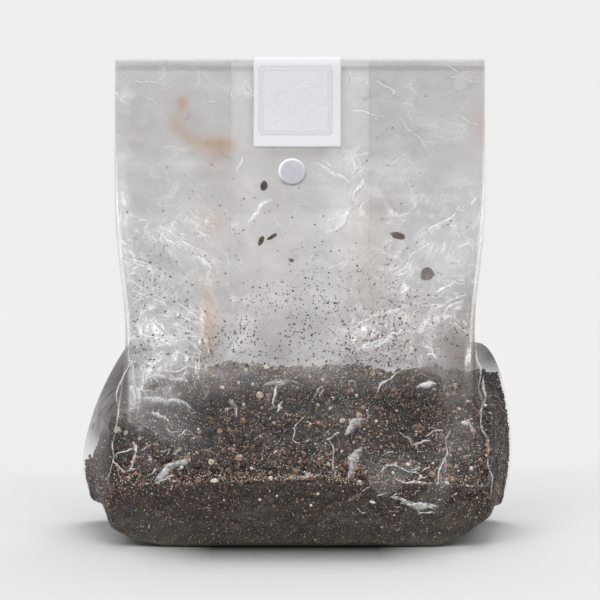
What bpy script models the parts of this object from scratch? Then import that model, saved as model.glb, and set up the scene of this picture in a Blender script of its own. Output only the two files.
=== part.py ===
"""A side gusseted grow bag of clear film, standing with a heap of loose substrate in it and its open end
folded over behind. Metres, +Z up, front towards -Y, the base centred on the origin."""

import math

import bpy
import numpy as np
from mathutils import Matrix

# Bag film, laid flat: a front and a back panel with a pleated gusset at each side
PANEL_WIDTH = 0.203
GUSSET_WIDTH = 0.127
BAG_HEIGHT = 0.261
FLAP_LENGTH = 0.080
FILM_WALL = 0.0004
LAYER_STEP = 0.0011
FOLD_RADIUS = 0.0030
FLAT_TOP_LENGTH = 0.0260

# Standing shape of the filled bag
BASE_DEPTH = 0.110
STRAIGHT_WALL_HEIGHT = 0.0340
CLOSING_ABOVE_HEAP = 0.0154
GUSSET_OPENING_LENGTH = 0.0390
CORNER_RADIUS = 0.010
CLOSED_ROUNDNESS = 0.25
ROUNDING_LENGTH = 0.050
GUSSET_FACE_SHARE = 0.22
PLY_SPREAD_HEIGHT = 0.024
GATHERED_SHARE = 0.15
PANEL_SWELL = 0.003
FRONT_PINCH = 0.0095
REAR_PINCH = 0.0040
PINCH_SPREAD = 0.050
LEFT_FLARE = 0.025
LEFT_FLARE_PEAK = 0.029
LEFT_FLARE_FADE = 1.0
RIGHT_FLARE = 0.0215
RIGHT_FLARE_PEAK = 0.050
RIGHT_FLARE_FADE = 0.5
BASE_CORNER_LIFT = 0.011
BASE_FLAT_SHARE = 0.70
BASE_EDGE_HEIGHT = 0.0040
BASE_EDGE_INSET = 0.0022
LIFT_FADE_HEIGHT = 0.060
SWAY = 0.0007
SWAY_WAVES = ((24.0, 31.0, 0.6, 1.0), (-18.0, 57.0, 2.1, 0.7))
SWAY_START = 0.02
SWAY_FULL = 0.09

# Heat seal that closes the bottom end of the film
SEAL_WIDTH = 0.010
SEAL_THICKNESS = 0.0010
SEAL_CLEARANCE = 0.0004
SEAL_RAMP_START = 0.0112
SEAL_RAMP_END = 0.0190

# Substrate heap
SOIL_BACK_HEIGHT = 0.089
SOIL_FRONT_HEIGHT = 0.031
SOIL_LEFT_CORNER_DROP = 0.052
SOIL_CROWN = 0.004
SOIL_CLEARANCE = 0.0009
SOIL_LUMP = 0.0016
SOIL_WAVES = 14
SLOPE_FOOT_SHARE = -0.92
SLOPE_HEAD_SHARE = 0.50
FLOOR_SHARES = (0.25, 0.50, 0.70, 0.84)
SIDE_RINGS = 6
TOP_SHARES = (0.955, 0.85, 0.74, 0.63, 0.52, 0.41, 0.30, 0.19, 0.08)

# Filter patch and injection port on the front panel
PATCH_WIDTH = 0.048
PATCH_HEIGHT = 0.0515
PATCH_WALL = 0.0005
PATCH_OFFSET = -0.0015
PATCH_TOP_DROP = 0.0006
WELD_MARGIN = 0.0036
WELD_WIDTH = 0.0011
WELD_DEPTH = 0.0002
WINDOW_MARGIN = 0.0075
PORT_DIAMETER = 0.0154
PORT_THICKNESS = 0.0016
PORT_BELOW_FOLD = 0.0635
PORT_OFFSET = -0.0044
PORT_SEAT_MARGIN = 0.0012
PORT_SEGMENTS = 26
PORT_EDGE = ((1.0, 0.0), (1.0, 0.40), (0.96, 0.74), (0.90, 0.93), (0.84, 1.0))
SEAT_GAP = 0.0003
CURVE_ALLOWANCE = 0.0001

# Larger loose bits that cling inside the front panel: side offset, drop below the port, length, width,
# thickness and turn
LOOSE_BITS = {
    "loose_bit_oval": (-0.0197, 0.0070, 0.0046, 0.0030, 0.0014, 80.0),
    "loose_bit_bark": (-0.0210, 0.0375, 0.0052, 0.0026, 0.0014, 70.0),
    "loose_bit_splinter": (-0.0150, 0.0353, 0.0054, 0.0022, 0.0012, 35.0),
    "loose_bit_grey": (-0.0045, 0.0480, 0.0025, 0.0022, 0.0014, 0.0),
    "loose_bit_husk": (0.0530, 0.0345, 0.0080, 0.0042, 0.0016, -12.0),
    "loose_bit_crumb": (0.0680, 0.0548, 0.0078, 0.0068, 0.0020, 40.0),
}

BIT_RINGS = 4
BIT_SEGMENTS = 7
BIT_UNEVENNESS = 0.22

# Points of one quarter of the film's section, from the panel's middle to the gusset's fold
PANEL_SHARES = (0.0, 0.25, 0.50, BASE_FLAT_SHARE, 1.0)
PLY_SHARES = (0.0, 0.18, 0.36, 0.60)
QUARTER_POINTS = len(PANEL_SHARES) + len(PLY_SHARES) + 3
LOOP_POINTS = 4 * (QUARTER_POINTS - 1)
BASE_SHARES = (0.60, 0.83)
WALL_SHARES = (0.038, 0.108, 0.195, 0.282, 0.368, 0.455, 0.542, 0.639, 0.748, 0.867)
FOLD_STEPS = 5
FLAP_SHARES = (0.33, 0.66, 1.0)
FIRST_WALL_ROW = 4 + len(BASE_SHARES)
TUCK_SHARE = 0.72
FOLD_BLUNTNESS = 0.0003
CREASE_TURN = 0.0005
SHARPEST_TURN = 0.70
CORNER_STEP = (0.0005, 0.0002)
TUCKED_GAUGE_SHARE = 0.60

HALF_PANEL = PANEL_WIDTH / 2
PLY = GUSSET_WIDTH / 2
FLAT_HALF_DEPTH = 1.5 * LAYER_STEP
BASE_HALF_DEPTH = BASE_DEPTH / 2
FOLD_CENTRE_Z = BAG_HEIGHT - FOLD_RADIUS - FLAT_HALF_DEPTH - FILM_WALL / 2
CLOSING_HEIGHT = SOIL_BACK_HEIGHT + CLOSING_ABOVE_HEAP
PORT_HEIGHT = BAG_HEIGHT - PORT_BELOW_FOLD
PORT_SEAT = PORT_DIAMETER / 2 + PORT_SEAT_MARGIN
SEAL_RISE = SEAL_THICKNESS + SEAL_CLEARANCE


def smooth_step(value, low, high):
    share = np.clip((np.asarray(value, float) - low) / (high - low), 0.0, 1.0)
    return share * share * (3.0 - 2.0 * share)


def half_depth(z):
    """Half the distance between the front and back panels at a height."""
    end = BAG_HEIGHT - FLAT_TOP_LENGTH
    share = min(max((z - STRAIGHT_WALL_HEIGHT) / (end - STRAIGHT_WALL_HEIGHT), 0.0), 1.0)
    open_share = 0.5 + 0.5 * math.cos(math.pi * share)
    return FLAT_HALF_DEPTH + (BASE_HALF_DEPTH - FLAT_HALF_DEPTH) * open_share


def pinch(z):
    """Share of the full draw in of the panels' edges, strongest just above the heap."""
    return math.exp(-(((z - CLOSING_HEIGHT) / PINCH_SPREAD) ** 2))


def flare(z, side):
    """How far the filled back corner of one side stands out past the panel's width."""
    amount = RIGHT_FLARE if side > 0 else LEFT_FLARE
    peak = RIGHT_FLARE_PEAK if side > 0 else LEFT_FLARE_PEAK
    fade = RIGHT_FLARE_FADE if side > 0 else LEFT_FLARE_FADE
    if z > peak:
        reach = min((z - peak) / (CLOSING_HEIGHT - peak), 1.0)
        return amount * (1.0 - reach * reach) ** fade
    reach = (peak - z) / (1.35 * peak)
    return amount * math.sqrt(1.0 - reach * reach)


def corner_offset(z, side, rear):
    width = HALF_PANEL - (REAR_PINCH if rear else FRONT_PINCH) * pinch(z)
    return width + (flare(z, side) if rear else 0.0)


def gusset_fold(z, side):
    """Distance of the gusset's middle fold from the bag's middle plane."""
    depth = half_depth(z)
    pleated = corner_offset(z, side, False) - math.sqrt(max(PLY * PLY - depth * depth, 0.0))
    middle = 0.5 * (corner_offset(z, side, False) + corner_offset(z, side, True))
    out = float(smooth_step(CLOSING_HEIGHT - z, 0.0, GUSSET_OPENING_LENGTH))
    return (1.0 - out) * pleated + out * middle


def join_quarters(quarters):
    """One closed loop, anticlockwise from above, from the front right, back right, back left and front left."""
    front_right, back_right, back_left, front_left = quarters
    return np.vstack([front_right, back_right[-2::-1], back_left[1:], front_left[-2:0:-1]])


def mirrored_loop(quarter):
    """A loop from a function that gives one quarter's points as distances from the middle."""
    quarters = []
    for side, rear in ((1, False), (1, True), (-1, True), (-1, False)):
        points = quarter(side, rear)
        quarters.append(points * np.array([side, 1.0 if rear else -1.0, 1.0]))
    return join_quarters(quarters)


def wall_quarter(z, side, rear, corner_radius=CORNER_RADIUS):
    """A quarter of the standing wall's section: panel, corner and the gusset ply behind it."""
    depth = half_depth(z)
    opened = (depth / BASE_HALF_DEPTH) ** 2
    filled = float(smooth_step(CLOSING_HEIGHT - z, 0.0, ROUNDING_LENGTH))
    opened *= CLOSED_ROUNDNESS + (1.0 - CLOSED_ROUNDNESS) * filled
    width = corner_offset(z, side, rear)
    radius = FOLD_BLUNTNESS + (corner_radius - FOLD_BLUNTNESS) * opened
    turn = LAYER_STEP + (corner_radius - LAYER_STEP) * opened
    fold = gusset_fold(z, side)
    panel = np.array(PANEL_SHARES)
    swell = PANEL_SWELL * opened
    panel_x = panel * (width - radius)
    panel_y = depth + swell * (1.0 - panel ** 2)
    tip_x = width + FOLD_BLUNTNESS / 3 - 0.30 * (radius - FOLD_BLUNTNESS)
    tip = (tip_x, depth - 0.5 * turn * (1.0 - 0.35 * opened))
    start = (width - FOLD_BLUNTNESS, depth - turn)
    end_y = LAYER_STEP / 2 + (GUSSET_FACE_SHARE * depth - LAYER_STEP / 2) * opened
    blunt = FOLD_BLUNTNESS + (GUSSET_FACE_SHARE * (start[0] - fold) - FOLD_BLUNTNESS) * opened
    end = (fold + blunt, end_y)
    spread = np.interp(z, (BASE_EDGE_HEIGHT, PLY_SPREAD_HEIGHT), (GATHERED_SHARE, 1.0))
    shares = np.array(PLY_SHARES) * float(spread)
    ply_x = start[0] + (end[0] - start[0]) * shares
    ply_y = start[1] + (end[1] - start[1]) * shares
    rows = list(zip(panel_x, panel_y))
    rows.append(tip)
    rows.extend(zip(ply_x, ply_y))
    rows.append(end)
    rows.append((fold, 0.0))
    return np.array([(x, y, z) for x, y in rows])


def seal_rise(distance):
    """How far the bottom stands off the floor to clear the seal folded under it, by distance from the middle."""
    share = (SEAL_RAMP_END - distance) / (SEAL_RAMP_END - SEAL_RAMP_START)
    return SEAL_RISE * min(max(share, 0.0), 1.0)


def base_quarter(share):
    """A quarter of the bottom at a share of the way from the seal to the edge. The panel lies on the floor,
    the gusset is tucked in over it, and its diagonal crease runs to the edge's corner."""
    depth = BASE_HALF_DEPTH * share
    layer = seal_rise(depth) + FILM_WALL / 2
    crease = HALF_PANEL - PLY * (1.0 - share)
    edge = HALF_PANEL - FOLD_BLUNTNESS
    ply_end = crease + CREASE_TURN
    bend = max(BASE_FLAT_SHARE * HALF_PANEL, 0.5 * (edge + ply_end))
    tucked = min(TUCK_SHARE * depth, SEAL_RAMP_START)
    rows = [(edge * part, depth, layer) for part in PANEL_SHARES]
    rows.append((HALF_PANEL, depth, layer + 0.5 * LAYER_STEP))
    rows.append((edge, depth, layer + LAYER_STEP))
    rows.append((bend, depth, layer + LAYER_STEP))
    rows.append((ply_end, depth, layer + LAYER_STEP))
    rows.append((crease, depth, layer + 1.5 * LAYER_STEP))
    rows.append((crease + 0.0003, tucked, seal_rise(tucked) + FILM_WALL / 2 + 2.0 * LAYER_STEP))
    rows.append((crease, 0.0, SEAL_RISE + FILM_WALL / 2 + 2.0 * LAYER_STEP))
    return np.array(rows)


def neck_quarter(z, step):
    """A quarter of the four flat layers where they run down into the seal."""
    fold = HALF_PANEL - PLY
    edge = HALF_PANEL - FOLD_BLUNTNESS
    ply_y = LAYER_STEP / 2
    rows = [(edge * part, FLAT_HALF_DEPTH, z) for part in PANEL_SHARES]
    rows.append((HALF_PANEL, LAYER_STEP, z + 0.5 * step))
    rows.append((edge, ply_y, z + step))
    rows.append((BASE_FLAT_SHARE * HALF_PANEL, ply_y, z + step))
    rows.append((fold + 5.0 * FOLD_BLUNTNESS, ply_y, z + step))
    rows.append((fold + FOLD_BLUNTNESS, ply_y, z + 1.5 * step))
    rows.append((fold + FOLD_BLUNTNESS, 0.5 * ply_y, z + 1.8 * step))
    rows.append((fold, 0.0, z + 2.0 * step))
    return np.array(rows)


def folded_loop(angle):
    """The flat top loop turned backwards over the fold by an angle."""
    loop = mirrored_loop(lambda side, rear: wall_quarter(FOLD_CENTRE_Z, side, rear))
    radius = FOLD_RADIUS - loop[:, 1]
    y = FOLD_RADIUS - radius * math.cos(angle)
    z = FOLD_CENTRE_Z + radius * math.sin(angle)
    return np.column_stack([loop[:, 0], y, z])


def flap_loop(drop):
    """The flap's loop at a distance below the fold, resting along the back panel."""
    loop = folded_loop(math.pi)
    loop[:, 1] += half_depth(FOLD_CENTRE_Z - drop) - half_depth(FOLD_CENTRE_Z)
    loop[:, 2] -= drop
    return loop


def lift_corners(points):
    """The bottom's unfilled corners stand clear of the floor."""
    inner = BASE_FLAT_SHARE * HALF_PANEL
    reach = np.clip((np.abs(points[:, 0]) - inner) / (HALF_PANEL - inner), 0.0, 1.35)
    fade = 1.0 - smooth_step(points[:, 2], BASE_EDGE_HEIGHT, LIFT_FADE_HEIGHT)
    lifted = points.copy()
    lifted[:, 2] += BASE_CORNER_LIFT * reach * fade
    return lifted


def sway(points):
    """Slow waves that run through every layer alike, fading out towards the floor."""
    x, z = points[:, 0], points[:, 2]
    wave = sum(share * np.sin(across * x + up * z + phase) for across, up, phase, share in SWAY_WAVES)
    swayed = points.copy()
    swayed[:, 1] += SWAY * smooth_step(z, SWAY_START, SWAY_FULL) * wave
    return swayed


def shaped(points):
    return sway(lift_corners(np.asarray(points, float)))


def film_heights():
    """Heights of the standing wall's loops. Two of them bound the flat the injection port sits on."""
    under_port = PORT_HEIGHT - PORT_SEAT
    over_port = PORT_HEIGHT + PORT_SEAT
    low = [BASE_EDGE_HEIGHT + share * (under_port - BASE_EDGE_HEIGHT) for share in (0.0, *WALL_SHARES, 1.0)]
    return low + [over_port, 0.5 * (over_port + FOLD_CENTRE_Z), FOLD_CENTRE_Z]


def edge_quarter(z, side, rear):
    """The rounded bottom edge: the wall's section drawn in a little, the tucked ply gathered at its corner."""
    points = wall_quarter(z, side, rear, 0.45 * CORNER_RADIUS)
    points[:, 1] -= BASE_EDGE_INSET * points[:, 1] / BASE_HALF_DEPTH
    points[:, 0] -= BASE_EDGE_INSET * points[:, 0] / HALF_PANEL
    first = len(PANEL_SHARES) + 1
    for step in range(1, len(PLY_SHARES)):
        points[first + step] = points[first] - step * np.array([*CORNER_STEP, 0.0])
    return points


def film_grid():
    """The film's middle surface: one loop of points per row, from the seal up, over the fold, to the mouth."""
    loops = [
        mirrored_loop(lambda side, rear: neck_quarter(0.5 * SEAL_THICKNESS, 0.0)),
        mirrored_loop(lambda side, rear: neck_quarter(SEAL_RISE + FILM_WALL / 2, LAYER_STEP)),
    ]
    for share in (SEAL_RAMP_START / BASE_HALF_DEPTH, SEAL_RAMP_END / BASE_HALF_DEPTH, *BASE_SHARES):
        loops.append(mirrored_loop(lambda side, rear, share=share: base_quarter(share)))
    edge_z, *wall_heights = film_heights()
    loops.append(mirrored_loop(lambda side, rear: edge_quarter(edge_z, side, rear)))
    for z in wall_heights:
        loops.append(mirrored_loop(lambda side, rear, z=z: wall_quarter(z, side, rear)))
    for step in range(1, FOLD_STEPS + 1):
        loops.append(folded_loop(math.pi * step / FOLD_STEPS))
    for share in FLAP_SHARES:
        loops.append(flap_loop(FLAP_LENGTH * share))
    return np.array([shaped(loop) for loop in loops])


def grid_normals(grid):
    """Outward directions at the grid's points, lengthened where the sheet turns so its wall keeps its gauge."""
    ahead = np.roll(grid, -1, axis=1) - grid
    up = grid[1:] - grid[:-1]
    cells = np.cross(0.5 * (ahead[:-1] + ahead[1:]), 0.5 * (up + np.roll(up, -1, axis=1)))
    cells /= np.maximum(np.linalg.norm(cells, axis=2, keepdims=True), 1e-12)
    below = np.concatenate([cells[:1], cells])
    above = np.concatenate([cells, cells[-1:]])
    around = [below, above, np.roll(below, 1, axis=1), np.roll(above, 1, axis=1)]
    total = sum(around)
    normals = total / np.maximum(np.linalg.norm(total, axis=2, keepdims=True), 1e-12)
    facing = sum(np.sum(normals * cell, axis=2, keepdims=True) for cell in around) / 4
    return normals / np.clip(facing, SHARPEST_TURN, 1.0)


def grid_triangles(grid):
    """Triangles of a grid that closes along its rows, each cell cut along its shorter diagonal."""
    rows, points = grid.shape[:2]
    index = np.arange(rows * points).reshape(rows, points)
    a, b = index[:-1], np.roll(index, -1, axis=1)[:-1]
    c, d = np.roll(index, -1, axis=1)[1:], index[1:]
    flat = grid.reshape(-1, 3)
    rising = np.linalg.norm(flat[a] - flat[c], axis=2) <= np.linalg.norm(flat[b] - flat[d], axis=2)
    first = np.where(rising[..., None], np.stack([a, b, c], 2), np.stack([a, b, d], 2))
    second = np.where(rising[..., None], np.stack([a, c, d], 2), np.stack([b, c, d], 2))
    return np.concatenate([first.reshape(-1, 3), second.reshape(-1, 3)])


def end_ring(outer, inner):
    """Triangles joining the edge of an outer skin to that of an inner one."""
    next_outer, next_inner = np.roll(outer, -1), np.roll(inner, -1)
    return np.concatenate([
        np.column_stack([outer, inner, next_inner]),
        np.column_stack([outer, next_inner, next_outer]),
    ])


def mesh_object(name, points, faces, material, sharp_degrees=35.0):
    mesh = bpy.data.meshes.new(name)
    mesh.from_pydata(np.asarray(points).tolist(), [], [list(map(int, face)) for face in faces])
    mesh.update()
    mesh.shade_smooth()
    mesh.set_sharp_from_angle(angle=math.radians(sharp_degrees))
    mesh.materials.append(material)
    obj = bpy.data.objects.new(name, mesh)
    bpy.context.scene.collection.objects.link(obj)
    return obj


def plain_material(name, colour, roughness, alpha=1.0):
    material = bpy.data.materials.new(name)
    material.use_nodes = True
    shader = material.node_tree.nodes["Principled BSDF"]
    shader.inputs["Base Color"].default_value = (*colour, 1.0)
    shader.inputs["Roughness"].default_value = roughness
    shader.inputs["Metallic"].default_value = 0.0
    shader.inputs["Alpha"].default_value = alpha
    return material


def helper_only(obj):
    obj.hide_render = True
    obj.display_type = "WIRE"
    return obj


def boolean(obj, other, operation):
    modifier = obj.modifiers.new(operation.lower(), "BOOLEAN")
    modifier.operation = operation
    modifier.solver = "EXACT"
    modifier.object = other
    return modifier


def box_grid(name, xs, y_range, z_range, material):
    """A long box with cross cuts at the given stations along X."""
    sections = []
    for x in xs:
        corners = [(y_range[0], z_range[0]), (y_range[1], z_range[0]), (y_range[1], z_range[1]),
                   (y_range[0], z_range[1])]
        sections.append([(x, y, z) for y, z in corners])
    points = shaped(np.array(sections).reshape(-1, 3))
    faces = []
    for step in range(len(xs) - 1):
        for corner in range(4):
            near, far = 4 * step + corner, 4 * step + (corner + 1) % 4
            faces.append((near, far, far + 4, near + 4))
    last = 4 * (len(xs) - 1)
    faces.append((3, 2, 1, 0))
    faces.append((last, last + 1, last + 2, last + 3))
    return mesh_object(name, points, faces, material)


def seal_fin(material):
    """The welded strip that closes the bottom end, laid flat under the back half of the base."""
    end = HALF_PANEL + 0.0006
    bend = BASE_FLAT_SHARE * HALF_PANEL
    xs = [-end, -bend, 0.0, bend, end]
    front = -FLAT_HALF_DEPTH - FILM_WALL
    return helper_only(box_grid("seal_fin", xs, (front, SEAL_WIDTH), (0.0, SEAL_THICKNESS), material))


def patch_window(grid, material):
    """The hole through the front panel that the filter patch covers."""
    half = 0.5 * PATCH_WIDTH - WINDOW_MARGIN
    top = BAG_HEIGHT - WINDOW_MARGIN - 0.002
    bottom = BAG_HEIGHT - PATCH_HEIGHT + WINDOW_MARGIN
    middle = 0.5 * (front_point(grid, PATCH_OFFSET, top)[1] + front_point(grid, PATCH_OFFSET, bottom)[1])
    xs = [PATCH_OFFSET - half, PATCH_OFFSET + half]
    return helper_only(box_grid("patch_window", xs, (middle - 0.006, -0.0002), (bottom, top), material))


def half_wall(grid):
    """Half the film's gauge at each point of the grid, thinner where the gusset is tucked in at the bottom."""
    place = np.arange(LOOP_POINTS) % (LOOP_POINTS // 2)
    from_panel = np.minimum(place, LOOP_POINTS // 2 - place)
    tucked = (from_panel >= len(PANEL_SHARES)) & (np.arange(len(grid))[:, None] <= FIRST_WALL_ROW)
    tucked[0] = False
    return (FILM_WALL / 2 * np.where(tucked, TUCKED_GAUGE_SHARE, 1.0))[..., None]


def film_bag(grid, normals, material):
    """The bag: one tube of film, sealed at the bottom, open at the end of its folded flap."""
    outer = grid + normals * half_wall(grid)
    inner = grid - normals * half_wall(grid)
    points = np.concatenate([outer.reshape(-1, 3), inner.reshape(-1, 3)])
    skin = grid_triangles(grid)
    count = len(grid) * LOOP_POINTS
    bottom = np.arange(LOOP_POINTS)
    mouth = bottom + count - LOOP_POINTS
    faces = [skin, skin[:, ::-1] + count]
    faces.append(end_ring(bottom, bottom + count))
    faces.append(end_ring(mouth, mouth + count)[:, ::-1])
    bag = mesh_object("film_bag", points, np.concatenate(faces), material)
    boolean(bag, seal_fin(material), "UNION")
    boolean(bag, patch_window(grid, material), "DIFFERENCE")
    return bag


def front_point(grid, x, z):
    """The film's middle surface on the front panel, at an offset and a height below the fold."""
    rows = [row for row in range(FIRST_WALL_ROW, len(grid)) if grid[row, 0, 2] <= FOLD_CENTRE_Z + 1e-6][:20]
    columns = np.concatenate([grid[:, -len(PANEL_SHARES) + 1:], grid[:, :len(PANEL_SHARES)]], axis=1)
    ys, heights = [], []
    for row in rows:
        if heights and columns[row, 0, 2] < heights[-1]:
            break
        ys.append(np.interp(x, columns[row, :, 0], columns[row, :, 1]))
        heights.append(columns[row, 0, 2])
    return np.array([x, np.interp(z, heights, ys), z])


def front_frame(grid, x, z, reach):
    """A point of the front panel with its outward, upward and sideways directions."""
    point = front_point(grid, x, z)
    up = front_point(grid, x, z + reach) - front_point(grid, x, z - reach)
    across = front_point(grid, x + reach, z) - front_point(grid, x - reach, z)
    up /= np.linalg.norm(up)
    across /= np.linalg.norm(across)
    outward = np.cross(across, up)
    return point, outward / np.linalg.norm(outward), up, across


def walk_curve(curve, lengths):
    """Points and outward directions at distances along a (y, z) line, mitred where the line bends."""
    steps = np.diff(curve, axis=0)
    gauge = np.linalg.norm(steps, axis=1)
    along = np.concatenate([[0.0], np.cumsum(gauge)])
    outward = np.column_stack([-steps[:, 1], steps[:, 0]]) / gauge[:, None]
    points = np.column_stack([np.interp(lengths, along, curve[:, axis]) for axis in (0, 1)])
    before = outward[np.clip(np.searchsorted(along, lengths - 1e-7) - 1, 0, len(steps) - 1)]
    after = outward[np.clip(np.searchsorted(along, lengths + 1e-7) - 1, 0, len(steps) - 1)]
    middle = before + after
    middle /= np.linalg.norm(middle, axis=1, keepdims=True)
    return points, middle / np.sum(middle * before, axis=1, keepdims=True)


def weld_lines(half):
    """Grid lines across half a patch side: its edge, the two sides of the weld and some between."""
    weld = half - WELD_MARGIN
    return [half, weld, weld - 0.0003, weld - WELD_WIDTH + 0.0003, weld - WELD_WIDTH]


def pressed_share(across, along):
    """Where the weld presses the patch: a rounded rectangle's outline, on a grid of offsets from its middle."""
    half_width = 0.5 * PATCH_WIDTH - WELD_MARGIN
    half_height = 0.5 * PATCH_HEIGHT - WELD_MARGIN
    x, y = np.meshgrid(np.abs(across), np.abs(along))
    outside = np.maximum(x - half_width, y - half_height)
    return (outside < -0.0001) & (outside > 0.0001 - WELD_WIDTH)


def filter_patch(material):
    """A sheet of nonwoven filter over the front panel's window, up to the fold, pressed by a welded outline."""
    across = np.array(sorted({s * v for v in weld_lines(0.5 * PATCH_WIDTH) for s in (-1, 1)} | {0.0}))
    curve = fold_face_curve()
    bends = np.concatenate([[0.0], np.cumsum(np.linalg.norm(np.diff(curve, axis=0), axis=1))])
    middle = bends[int(np.argmax(curve[:, 1]))] - PATCH_TOP_DROP - 0.5 * PATCH_HEIGHT
    lines = {s * v for v in weld_lines(0.5 * PATCH_HEIGHT) for s in (-1, 1)}
    bends = [bend - middle for bend in bends if abs(bend - middle) < 0.5 * PATCH_HEIGHT - 0.0002]
    lines = [line for line in lines if min(abs(line - bend) for bend in bends) > 0.0002]
    along = np.array(sorted(lines + bends))
    points, outward = walk_curve(curve, middle + along)
    pressed = pressed_share(across, along)
    clear = FILM_WALL / 2 + SEAT_GAP + CURVE_ALLOWANCE
    sheets = []
    for height in (clear + 0.0 * pressed, clear + PATCH_WALL - WELD_DEPTH * pressed):
        y = points[:, :1] + outward[:, :1] * height
        z = points[:, 1:] + outward[:, 1:] * height
        x = np.broadcast_to(PATCH_OFFSET + across, y.shape)
        sheets.append(np.stack([x, y, z], axis=2))
    rows, columns = sheets[0].shape[:2]
    index = np.arange(rows * columns).reshape(rows, columns)
    a, b, c, d = index[:-1, :-1], index[:-1, 1:], index[1:, 1:], index[1:, :-1]
    quads = np.stack([a, b, c, d], axis=2).reshape(-1, 4)
    count = rows * columns
    rim = np.concatenate([index[0], index[1:, -1], index[-1, -2::-1], index[-2:0:-1, 0]])
    following = np.roll(rim, -1)
    side = np.column_stack([rim, following, following + count, rim + count])
    faces = np.concatenate([quads[:, ::-1], quads + count, side])
    flat = np.concatenate([sheets[0].reshape(-1, 3), sheets[1].reshape(-1, 3)])
    return mesh_object("filter_patch", shaped(flat), faces, material, 25.0)


def fold_face_curve():
    """The front panel's middle line above the port, before any sway, up to the top of the fold."""
    rows = [(-half_depth(z), z) for z in film_heights()[-4:]]
    for step in range(1, FOLD_STEPS - 1):
        angle = math.pi * step / FOLD_STEPS
        radius = FOLD_RADIUS + FLAT_HALF_DEPTH
        rows.append((FOLD_RADIUS - radius * math.cos(angle), FOLD_CENTRE_Z + radius * math.sin(angle)))
    return np.array(rows)


def lathe(profile, segments):
    """Points and faces of a solid turned about its axis from (radius, height) rows that start and end on it."""
    points = [(0.0, 0.0, profile[0][1])]
    for radius, height in profile[1:-1]:
        for step in range(segments):
            angle = 2.0 * math.pi * step / segments
            points.append((radius * math.cos(angle), radius * math.sin(angle), height))
    points.append((0.0, 0.0, profile[-1][1]))
    faces = []
    last = len(points) - 1
    rings = len(profile) - 2
    for step in range(segments):
        after = (step + 1) % segments
        faces.append((0, 1 + after, 1 + step))
        for ring in range(rings - 1):
            low = 1 + ring * segments
            faces.append((low + step, low + after, low + segments + after, low + segments + step))
        top = 1 + (rings - 1) * segments
        faces.append((top + step, top + after, last))
    return np.array(points), faces


def placed(points, frame, depth):
    """Points whose third value runs outward, moved onto a frame of the front panel."""
    origin, outward, up, across = frame
    offsets = points[:, :1] * across + points[:, 1:2] * up + (points[:, 2:] + depth) * outward
    return origin + offsets


def injection_port(grid, material):
    """A round self healing disc on the front panel, with a flat face and a rounded edge."""
    radius = PORT_DIAMETER / 2
    rim = [(radius * out, PORT_THICKNESS * up) for out, up in PORT_EDGE]
    points, faces = lathe([(0.0, 0.0), *rim, (0.0, PORT_THICKNESS)], PORT_SEGMENTS)
    frame = front_frame(grid, PORT_OFFSET, PORT_HEIGHT, radius)
    depth = FILM_WALL / 2 + SEAT_GAP + CURVE_ALLOWANCE
    return mesh_object("injection_port", placed(points, frame, depth), faces, material)


def loose_bit(name, grid, seed, material):
    """A flat crumb held by static on the inner face of the front panel."""
    x, drop, length, width, thickness, turn = LOOSE_BITS[name]
    generator = np.random.default_rng(seed)
    leans = [math.pi * ring / BIT_RINGS for ring in range(1, BIT_RINGS)]
    outline = [(0.0, -1.0), *((math.sin(lean), -math.cos(lean)) for lean in leans), (0.0, 1.0)]
    points, faces = lathe(outline, BIT_SEGMENTS)
    points[:, :2] *= 1.0 - BIT_UNEVENNESS * generator.random((len(points), 1))
    points *= np.array([length / 2, width / 2, thickness / 2])
    cosine, sine = math.cos(math.radians(turn)), math.sin(math.radians(turn))
    points[:, :2] = points[:, :2] @ np.array([[cosine, sine], [-sine, cosine]])
    depth = -(FILM_WALL / 2 + SEAT_GAP + thickness / 2)
    frame = front_frame(grid, x, PORT_HEIGHT - drop, 0.5 * length)
    return mesh_object(name, placed(points, frame, depth), faces, material, 60.0)


def soil_top(x, y):
    """Height of the heap: high at the back, running down to the front, low in the back left corner."""
    rise = smooth_step(y, SLOPE_FOOT_SHARE * BASE_HALF_DEPTH, SLOPE_HEAD_SHARE * BASE_HALF_DEPTH)
    height = SOIL_FRONT_HEIGHT + (SOIL_BACK_HEIGHT - SOIL_FRONT_HEIGHT) * rise
    corner = smooth_step(-x, 0.80 * HALF_PANEL, 1.05 * HALF_PANEL)
    corner = corner * smooth_step(y, -0.2 * BASE_HALF_DEPTH, 0.5 * BASE_HALF_DEPTH)
    crown = SOIL_CROWN * (1.0 - smooth_step(np.abs(x), 0.0, 0.75 * HALF_PANEL)) * (1.0 - rise)
    return height + crown - SOIL_LEFT_CORNER_DROP * corner


def soil_lumps(x, y):
    """Uneven ground made of a few rows of seeded waves."""
    generator = np.random.default_rng(7)
    total = np.zeros_like(x)
    for _ in range(SOIL_WAVES):
        angle = generator.uniform(0.0, 2.0 * math.pi)
        pitch = generator.uniform(260.0, 620.0)
        phase = generator.uniform(0.0, 2.0 * math.pi)
        total += np.sin(pitch * (x * math.cos(angle) + y * math.sin(angle)) + phase)
    return SOIL_LUMP * total / math.sqrt(SOIL_WAVES)


def soil_floor(x, y):
    """Lowest height the heap reaches, over the seal's rise and the gusset layers tucked in at the sides."""
    tent = SEAL_RISE * (1.0 - smooth_step(np.abs(y), SEAL_RAMP_END, 1.6 * SEAL_RAMP_END))
    gusset = HALF_PANEL - PLY
    tucked = 2.0 * LAYER_STEP * smooth_step(np.abs(x), 0.50 * gusset, 0.92 * gusset)
    return tent + tucked + FILM_WALL + SOIL_CLEARANCE


def finer(grid):
    """The grid with a point added in the middle of every cell along its rows."""
    between = 0.5 * (grid + np.roll(grid, -1, axis=1))
    return np.stack([grid, between], axis=2).reshape(len(grid), -1, 3)


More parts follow.
